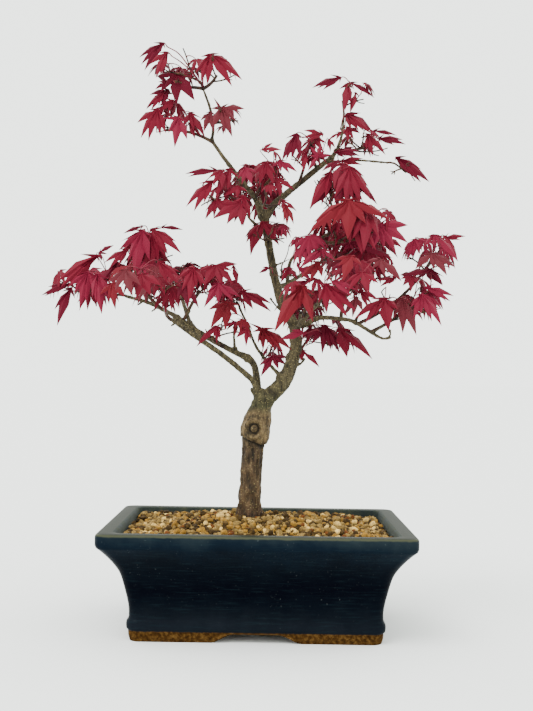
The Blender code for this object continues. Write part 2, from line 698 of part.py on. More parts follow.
def grow_twigs(mass, stem, grown, rng):
    """Twigs from the stem to ends that are spread evenly through the mass's space."""
    _, _, _, middle, half, leaves, _ = mass
    count = max(2, round(leaves / LEAVES_PER_TWIG))
    twigs = []
    for i in range(count):
        for _ in range(TWIG_TRIES):
            height = -0.45 + 0.9 * (i + 0.5) / count + rng.uniform(-0.12, 0.12)
            turn = GOLDEN_ANGLE * i + rng.uniform(-0.4, 0.4)
            spread = 0.62 * math.sqrt(1.0 - height * height)
            end = Vector(middle) + Vector((
                half[0] * spread * math.cos(turn), half[1] * spread * math.sin(turn), half[2] * height,
            ))
            fork = along(stem, rng.uniform(0.5, 0.92))[0].xyz
            twig = bowed(fork, end, TWIG_RADII, rng)
            space = twig_shape(swollen(twig, GAP))
            if not grown.meets_limb(space) and not grown.meets(space, (mass[0],)):
                grown.add(twig_shape(twig), mass[0])
                twigs.append(twig)
                break
    return twigs


def stalk_foot(nodes, hub, forward, size):
    """The nearest point of the twigs that a stalk can reach the hub from without a sharp bend."""
    fit = []
    for node in nodes:
        reach = (hub - node).length
        ahead = (hub - node).dot(forward) / reach
        if STALK_SHARE[0] * size < reach < STALK_SHARE[1] * size and ahead > STALK_BEND:
            fit.append((reach, node))
    return min(fit, key=lambda pair: pair[0])[1] if fit else None


def grow_leaf(mass, nodes, slot, attempt, grown, rng):
    """One leaf on its stalk, or nothing where none fits."""
    name, _, _, middle, half, leaves, length = mass
    height = 1.0 - 2.0 * (slot + 0.5) / leaves
    turn = GOLDEN_ANGLE * slot
    spread = math.sqrt(1.0 - height * height)
    loose = 0.15 + 0.85 * attempt / LEAF_TRIES
    share = rng.uniform(0.45, 0.9)
    target = Vector(middle) + Vector([
        half[i] * (share * way + loose * rng.uniform(-0.6, 0.6))
        for i, way in enumerate((spread * math.cos(turn), spread * math.sin(turn), height))
    ])
    size = length * rng.uniform(0.82, 1.1) * (1.0 - 0.2 * attempt / LEAF_TRIES)
    pull = max(-1.0, min(1.0, (TURN_FROM - middle[1]) / TURN_RANGE))
    out = Vector((target.x - middle[0], target.y - middle[1], 0.0))
    out = Vector((out.x / half[0], out.y / half[1] - 0.6 * pull, 0.0)).normalized()
    droop = math.radians(rng.uniform(5.0, 55.0))
    forward = out * math.cos(droop) + Vector((0.0, 0.0, -math.sin(droop)))
    up = out * math.sin(droop) + Vector((0.0, 0.0, math.cos(droop)))
    roll = rng.uniform(-0.4, 0.4)
    up = (up * math.cos(roll) + up.cross(forward) * math.sin(roll)).normalized()
    hub = target - forward * 0.4 * size
    base = stalk_foot(nodes, hub, forward, size)
    if base is None:
        return None
    shape = blade(hub, forward, up, size)
    if not all(in_space(Vector(v), middle, half, SPACE_MARGIN) for v in shape[0]):
        return None
    room = blade(hub, forward, up, size, 0.7)
    if grown.meets_limb(room) or grown.meets(room):
        return None
    whole = twig_shape([Vector((*base, 1.0)), Vector((*hub, 1.2))])
    if grown.meets_limb(whole) or grown.meets(whole, (name,)):
        return None
    outer = [Vector((*base.lerp(hub, 0.25), 1.0)), Vector((*base.lerp(hub, 0.95), 1.0))]
    if grown.meets(twig_shape(outer)):
        return None
    behind = [Vector((*base, 0.8)), Vector((*base.lerp(hub, 0.8), 0.8))]
    if tree_of(shape).overlap(tree_of(twig_shape(behind))):
        return None
    shape = leaf(base, hub, forward, up, size)
    if grown.meets_limb(shape) or grown.meets(shape, (name,)):
        return None
    return shape


def grow_mass(index, mass, paths, trees, grown, again):
    """All the pieces of one mass: its stem, its twigs and its leaves with their stalks."""
    name, leaves = mass[0], mass[5]
    rng = random.Random(SEED + index + 1000 * again)
    stem = grow_stem(mass, paths, trees, grown, rng)
    twigs = grow_twigs(mass, stem, grown, rng)
    grown.add(twig_shape(stem), name)
    pieces = [twig_shape(stem)] + [twig_shape(twig) for twig in twigs]
    nodes = [along(twig, share)[0].xyz for twig in twigs for share in LEAF_NODES]
    nodes += [along(stem, share)[0].xyz for share in STEM_NODES]
    for slot in range(leaves):
        leaf_rng = random.Random(SEED * 10 + index * 100 + slot)
        for attempt in range(LEAF_TRIES):
            shape = grow_leaf(mass, nodes, slot, attempt, grown, leaf_rng)
            if shape:
                pieces.append(shape)
                grown.add(shape, name)
                break
    return pieces


def is_manifold(shape):
    edges = all(edge.is_manifold and edge.is_contiguous for edge in shape.edges)
    return edges and all(vert.is_manifold for vert in shape.verts)


def is_closed(mesh):
    """Whether each edge keeps exactly two faces once the thinnest slivers are dissolved."""
    shape = bmesh.new()
    shape.from_mesh(mesh)
    bmesh.ops.dissolve_degenerate(shape, dist=SLIVER * MM, edges=shape.edges)
    bmesh.ops.triangulate(shape, faces=shape.faces)
    shape.to_mesh(mesh)
    closed = is_manifold(shape)
    bmesh.ops.remove_doubles(shape, verts=shape.verts, dist=WELD * MM)
    closed = closed and is_manifold(shape)
    shape.free()
    return closed


def union_mesh(main, loose, solver):
    union = main.modifiers.new("union", "BOOLEAN")
    union.operation = "UNION"
    union.operand_type = "COLLECTION"
    union.collection = loose
    union.solver = solver
    bpy.context.view_layer.update()
    mesh = bpy.data.meshes.new_from_object(main.evaluated_get(bpy.context.evaluated_depsgraph_get()))
    main.modifiers.clear()
    return mesh


def joined(name, pieces, parts):
    """One closed solid from all the pieces of a mass, or nothing where they don't join cleanly."""
    loose = new_collection(name + "_pieces")
    main = add_mesh(name, *pieces[0], parts, "leaf")
    for number, (verts, faces) in enumerate(pieces[1:]):
        add_mesh(f"{name}_piece_{number:02d}", verts, faces, loose)
    mesh = union_mesh(main, loose, "EXACT")
    if not is_closed(mesh):
        mesh = union_mesh(main, loose, "MANIFOLD")
    main.data = mesh
    mesh.name = name
    for obj in list(loose.objects):
        bpy.data.objects.remove(obj, do_unlink=True)
    bpy.data.collections.remove(loose)
    if not is_closed(mesh):
        bpy.data.objects.remove(main, do_unlink=True)
        return None
    keep_largest(mesh)
    mesh.materials.clear()
    mesh.materials.append(bpy.data.materials[name])
    return main


def keep_largest(mesh):
    """Drops loose scraps and fills hollows that the joining sealed."""
    shape = bmesh.new()
    shape.from_mesh(mesh)
    seen = set()
    groups = []
    for start in shape.verts:
        if start in seen:
            continue
        group, queue = [], [start]
        seen.add(start)
        while queue:
            vert = queue.pop()
            group.append(vert)
            for edge in vert.link_edges:
                other = edge.other_vert(vert)
                if other not in seen:
                    seen.add(other)
                    queue.append(other)
        groups.append(group)
    groups.sort(key=len, reverse=True)
    for group in groups[1:]:
        bmesh.ops.delete(shape, geom=group, context="VERTS")
    shape.to_mesh(mesh)
    shape.free()


def build_masses(parts, trees, paths):
    grown = Grown()
    grown.limbs = dict(trees)
    for index, mass in enumerate(MASSES):
        for again in range(MASS_TRIES):
            pieces = grow_mass(index, mass, paths, trees, grown, again)
            if joined(mass[0], pieces, parts):
                break
            grown.forget(mass[0])


def centre_on_origin(parts):
    """Moves the plant so that the middle of its box stands over the origin."""
    corners = [v.co for obj in parts.objects for v in obj.data.vertices]
    shift = Vector((
        -0.5 * (min(c.x for c in corners) + max(c.x for c in corners)),
        -0.5 * (min(c.y for c in corners) + max(c.y for c in corners)),
        0.0,
    ))
    for obj in bpy.data.objects:
        for vert in obj.data.vertices:
            vert.co += shift


def main():
    clear_scene()
    parts = new_collection(PART_NAME)
    cutters = new_collection("cutters")
    build_pot(parts, cutters)
    build_soil(parts)
    for obj in list(parts.objects) + list(cutters.objects):
        obj.data.transform(Matrix.Translation((POT_MIDDLE * MM, 0.0, 0.0)))
    trunk = build_trunk(parts)
    trees = {"trunk": mesh_tree(trunk)}
    paths = {}
    build_boughs(parts, trees, paths)
    build_masses(parts, trees, paths)
    centre_on_origin(parts)


main()
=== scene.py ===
"""Looks of a potted japanese maple, trained as a bonsai: glazed pot, gravel, bark, twigs and leaves.

Shapes are worked out in millimetres, in the coordinates of the plant's own solids, and every finished
piece is moved into the frame, in metres, as its last step.
"""

import math
import random
from collections import namedtuple

import bmesh
import bpy
import numpy as np
from mathutils import Matrix, Vector, noise
from mathutils.bvhtree import BVHTree


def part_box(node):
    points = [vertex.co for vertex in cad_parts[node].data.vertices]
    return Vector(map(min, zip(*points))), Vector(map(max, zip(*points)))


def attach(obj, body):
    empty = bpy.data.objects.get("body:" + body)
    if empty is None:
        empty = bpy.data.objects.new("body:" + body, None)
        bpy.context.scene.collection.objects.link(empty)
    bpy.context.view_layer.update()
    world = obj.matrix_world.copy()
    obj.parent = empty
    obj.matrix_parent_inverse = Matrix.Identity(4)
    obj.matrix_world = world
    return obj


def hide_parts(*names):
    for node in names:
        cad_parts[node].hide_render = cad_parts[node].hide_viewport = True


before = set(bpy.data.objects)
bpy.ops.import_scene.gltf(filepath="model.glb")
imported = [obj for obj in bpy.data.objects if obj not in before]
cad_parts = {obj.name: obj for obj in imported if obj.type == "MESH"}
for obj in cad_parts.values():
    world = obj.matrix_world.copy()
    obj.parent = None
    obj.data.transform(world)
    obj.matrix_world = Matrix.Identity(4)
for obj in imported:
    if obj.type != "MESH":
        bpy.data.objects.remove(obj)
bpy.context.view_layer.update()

MM = 0.001
UP = Vector((0.0, 0.0, 1.0))
DOWN = -UP

# ---- the plant's named sizes, as in the solids --------------------------------------------------

POT_HALF = (131.4, 101.5)
POT_MIDDLE = 2.7
RIM_HEIGHT = 91.0
POT_CORNER = 9.0
FOOT_RECESS = 8.5
FOOT_WALL = 15.0
RECESS_CORNER = 6.0
WALL_PROFILE = [  # height, how far the wall stands inside the rim's outline
    (0.0, 26.6), (4.5, 25.5), (8.7, 25.2), (10.2, 24.0), (13.2, 23.6), (16.6, 23.9), (19.4, 25.4),
    (29.0, 25.1), (43.0, 22.2), (56.0, 18.6), (64.0, 14.2), (70.5, 9.4), (76.0, 4.6), (79.6, 0.9),
    (82.0, 0.0), (88.0, 0.0), (89.7, 0.2), (90.6, 0.8), (91.0, 1.9), (91.0, 12.6), (90.7, 14.0),
]
CAVITY_PROFILE = [(89.9, 14.9), (84.0, 16.5), (66.0, 22.0), (45.0, 29.5), (18.0, 34.5)]
ARCH_HEIGHT = 7.5
FRONT_ARCH = (18.0, 39.5)  # half-widths of an arch where it is level, and where it meets the ground
SIDE_ARCH = (12.0, 29.0)
SOIL_EDGE_DROP = 6.0
SOIL_TOP = 94.5
MOUND_FLAT = 0.2

TRUNK_SECTIONS = [  # place, then half-widths across and deep
    (-6.0, 3.0, 91.0, 13.6, 13.2), (-6.0, 3.0, 94.8, 12.3, 11.9), (-5.8, 2.8, 99.0, 10.9, 10.6),
    (-5.3, 2.5, 108.0, 10.0, 9.8), (-4.4, 2.0, 127.0, 9.5, 9.4), (-3.2, 1.2, 150.0, 9.3, 9.2),
    (-2.6, 1.0, 158.0, 9.7, 9.6), (-1.4, 0.6, 165.0, 11.3, 11.4), (-0.4, 0.2, 174.0, 12.7, 12.4),
    (1.0, 0.0, 184.0, 12.0, 11.4), (3.8, 0.0, 193.0, 9.4, 9.0), (6.0, 0.0, 198.5, 9.4, 8.8),
    (7.2, 0.0, 202.5, 10.0, 8.8), (7.8, 0.0, 206.5, 8.0, 6.6), (8.0, 0.0, 208.5, 4.0, 3.6),
]
ROOT_LOBES = 5
ROOT_DEPTH = 1.6
ROOT_HEIGHT = 14.0
ROOT_TURN = 0.8
LEAN_FROM = 184.0  # above this the trunk's rings lean towards the fork's face
FORK_TILT = math.radians(22.0)
FORK_FACE = Vector((math.sin(FORK_TILT), 0.0, math.cos(FORK_TILT)))
FORK_SPOT = Vector((7.0, 0.0, 203.5))

Bough = namedtuple("Bough", "name carrier share knots")
BOUGHS = [Bough(*row) for row in (
    ("main_stem", "trunk", 1.0,
     [(11.6, 0, 203, 6.9), (18, 0, 209, 7.0), (25.6, 1, 219, 6.7), (33, 4, 240, 5.8), (35.4, 6, 255, 5.3)]),
    ("upper_stem", "main_stem", 1.0,
     [(35, 6, 255, 5.2), (31, 9, 270, 5.0), (22, 12, 286, 4.6), (15, 14, 308, 3.9),
      (9, 13, 338, 3.6), (5, 11, 358, 4.2), (4, 10, 368, 5.0)]),
    ("left_leader", "upper_stem", 1.0,
     [(1.2, 9, 367, 2.7), (-4.8, 5, 381.6, 2.6), (-15.2, 1, 394, 2.3), (-33.2, -4, 416, 1.8),
      (-44.4, -6, 431.6, 1.6)]),
    ("right_leader", "upper_stem", 1.0,
     [(7.4, 10.5, 367, 3.3), (12, 12, 376, 3.4), (25, 16, 389, 3.0), (40, 20, 402, 2.8),
      (56, 23, 416, 2.6), (67, 25, 425, 2.3)]),
    ("plume_bough", "left_leader", 1.0,
     [(-44, -6, 432, 1.5), (-43, -6, 441, 1.4), (-46, -7, 459, 1.3), (-53, -9, 478, 1.1)]),
    ("top_bough", "right_leader", 1.0,
     [(67, 25, 425, 1.9), (72, 26, 436, 1.5), (75, 27, 448, 1.3), (76, 28, 461, 1.1)]),
    ("right_tip_bough", "right_leader", 0.9,
     [(62, 24, 420, 1.3), (74, 22, 420, 1.2), (92, 18, 420, 1.1), (117, 12, 417, 1.0)]),
    ("right_middle_bough", "upper_stem", 0.28,
     [(22, 12, 286, 2.3), (25, 3, 293, 2.0), (26, -5, 310, 1.8), (29, -12, 325, 1.6),
      (41, -17, 333, 1.5), (59, -22, 346, 1.3)]),
    ("right_lateral_bough", "upper_stem", 0.09,
     [(33, 7, 262, 2.8), (42, 1, 267, 2.6), (54, -9, 273, 2.2), (75, -16, 272, 1.9),
      (86, -18, 269, 1.8), (102, -22, 259, 1.5), (110, -24, 255, 1.3), (117, -25, 256, 1.0)]),
    ("lower_right_bough", "main_stem", 0.72,
     [(32, 4, 240, 1.7), (40, 11, 246, 1.5), (46, 18, 256, 1.3), (49, 23, 264, 1.2)]),
    ("left_upper_bough", "trunk", 1.0,
     [(0.2, 5.0, 206, 3.7), (-0.6, 4, 218, 3.4), (-3, 3, 230, 3.0), (-9, 1, 236.5, 3.6),
      (-20, -2, 241.5, 2.6), (-37.6, -5, 250.4, 2.6), (-50.5, -8, 257.4, 2.7), (-63.5, -11, 265.4, 2.9),
      (-73, -12, 272, 2.5)]),
    ("left_fork_bough", "left_upper_bough", 1.0,
     [(-73, -12, 272, 2.4), (-80, -12, 276, 2.0), (-97, -10, 284, 1.8), (-111, -8, 288, 1.6),
      (-119, -6, 290, 1.4)]),
    ("left_lower_bough", "trunk", 1.0,
     [(0.2, -4.6, 206, 3.0), (-3.2, -7, 215.4, 2.8), (-10, -13, 222, 2.6), (-29.4, -22, 237.6, 2.5),
      (-48.4, -31, 250.6, 2.4), (-61.2, -37, 258.8, 2.1), (-74, -43, 268, 1.7)]),
    ("inner_bough", "main_stem", 0.3,
     [(22, 1, 216, 1.9), (14, 11, 228, 1.6), (5, 19, 238, 1.5), (-3, 24, 250, 1.4),
      (-9, 27, 265, 1.3), (-18, 30, 284, 1.2)]),
    ("front_bough", "upper_stem", 0.03,
     [(34, 6, 260, 2.5), (37, -12, 266, 2.3), (43, -34, 274, 2.0), (52, -62, 284, 1.6)]),
    ("back_low_bough", "main_stem", 0.9,
     [(34, 5, 249, 2.5), (36, 22, 257, 2.2), (38, 42, 270, 1.9), (40, 60, 280, 1.6)]),
    ("back_right_bough", "upper_stem", 0.42,
     [(16, 13, 302, 2.4), (26, 24, 306, 2.2), (42, 46, 318, 1.9), (60, 68, 332, 1.6)]),
    ("back_left_bough", "left_upper_bough", 0.82,
     [(-58, -10, 263, 2.2), (-63, 4, 271, 2.0), (-70, 28, 288, 1.8), (-78, 50, 306, 1.5)]),
    ("back_top_bough", "upper_stem", 0.9,
     [(5, 11, 360, 2.2), (3, 26, 366, 2.0), (1, 44, 380, 1.7), (0, 56, 390, 1.5)]),
)]
BOUGH_STEP = 13.0  # between the points of a path that carries boughs and stems
WOOD = ["trunk"] + [bough.name for bough in BOUGHS]

# The space, stem and leaves of each mass: leaves in the solid, length of a blade there, and the tints
# that its sprays are dealt
Mass = namedtuple("Mass", "name limb share middle half leaves length tints")
MASSES = [Mass(*row) for row in (
    ("plume_top", "plume_bough", 1.0, (-74, -8, 499), (40, 26, 24), 6, 34, "crimson wine"),
    ("plume_over", "plume_bough", 0.97, (-40, -14, 495), (27, 24, 21), 4, 36, "crimson russet"),
    ("plume_under", "plume_bough", 0.97, (-77, -2, 476), (27, 24, 15), 4, 30, "wine ruby"),
    ("plume_left", "left_leader", 0.96, (-82, 0, 450), (33, 27, 23), 8, 30, "ruby crimson carmine"),
    ("plume_right", "plume_bough", 0.3, (-33, -18, 450), (22, 21, 20), 5, 27, "russet crimson"),
    ("crown_left", "left_leader", 0.42, (-34, -18, 377), (35, 30, 22), 10, 30, "carmine ruby crimson"),
    ("crown_centre", "left_leader", 0.2, (6, 6, 405), (29, 26, 25), 9, 27, "ruby crimson"),
    ("crown_front", "right_leader", 0.1, (4, -28, 376), (22, 18, 17), 5, 25, "ruby crimson"),
    ("crown_low", "upper_stem", 0.86, (6, -14, 347), (27, 22, 18), 7, 26, "russet crimson carmine"),
    ("crown_over", "right_leader", 0.5, (42, 8, 428), (28, 24, 22), 8, 27, "crimson ruby"),
    ("top_right", "top_bough", 1.0, (75, 28, 484), (33, 24, 18), 5, 30, "ruby crimson"),
    ("shoulder", "top_bough", 0.2, (96, 30, 443), (40, 30, 20), 10, 29, "crimson ruby carmine"),
    ("right_tip", "right_tip_bough", 1.0, (130, 8, 408), (22, 18, 14), 3, 28, "ruby crimson"),
    ("right_upper", "right_middle_bough", 1.0, (70, 4, 390), (35, 30, 26), 10, 35, "ruby crimson"),
    ("right_centre", "right_middle_bough", 0.85, (86, -32, 351), (43, 34, 26), 13, 38,
     "scarlet ruby crimson"),
    ("right_inner", "right_middle_bough", 0.6, (46, -42, 328), (32, 24, 19), 8, 29, "carmine scarlet ruby"),
    ("right_middle", "right_lateral_bough", 0.5, (95, -14, 320), (36, 32, 22), 9, 34, "crimson ruby russet"),
    ("trunk_side", "right_middle_bough", 0.35, (19, -22, 312), (22, 17, 14), 3, 26, "ruby carmine"),
    ("trunk_front", "front_bough", 0.5, (44, -52, 290), (36, 26, 22), 8, 38, "scarlet crimson"),
    ("far_right_top", "right_lateral_bough", 0.66, (154, 2, 334), (37, 30, 22), 8, 31, "carmine ruby"),
    ("far_right_low", "right_lateral_bough", 0.8, (134, -10, 291), (43, 36, 25), 13, 34,
     "ruby carmine crimson"),
    ("lower_right", "lower_right_bough", 1.0, (65, 24, 257), (44, 32, 22), 9, 35, "wine crimson ruby"),
    ("left_top", "left_fork_bough", 0.6, (-98, 2, 337), (35, 34, 22), 9, 40, "carmine crimson wine"),
    ("left_outer", "left_fork_bough", 1.0, (-150, -16, 298), (45, 36, 26), 12, 40, "carmine ruby"),
    ("left_middle", "left_fork_bough", 0.3, (-101, -44, 305), (34, 28, 23), 9, 37, "carmine scarlet russet"),
    ("left_inner", "left_upper_bough", 0.93, (-53, -6, 304), (31, 28, 22), 8, 31, "ruby crimson"),
    ("left_centre", "inner_bough", 1.0, (-27, 18, 289), (38, 32, 24), 10, 32, "ruby crimson"),
    ("left_low", "left_upper_bough", 0.52, (-32, -18, 262), (32, 24, 17), 5, 27, "ruby scarlet"),
    ("inner_low", "inner_bough", 0.4, (10, 36, 243), (21, 24, 20), 5, 28, "carmine crimson"),
    ("back_left", "back_left_bough", 1.0, (-98, 82, 322), (47, 38, 26), 12, 37, "crimson wine ruby"),
    ("back_right", "back_right_bough", 1.0, (90, 98, 350), (48, 40, 32), 14, 37, "crimson ruby wine"),
    ("back_top", "back_top_bough", 1.0, (-2, 82, 400), (38, 34, 27), 10, 32, "ruby crimson"),
    ("back_low", "back_low_bough", 1.0, (42, 92, 290), (40, 36, 25), 9, 35, "wine crimson"),
    ("front_left", "left_lower_bough", 1.0, (-76, -92, 289), (39, 34, 22), 9, 37, "crimson russet ruby"),
    ("front_right", "front_bough", 1.0, (78, -98, 300), (40, 34, 24), 10, 37, "ruby crimson russet"),
)]

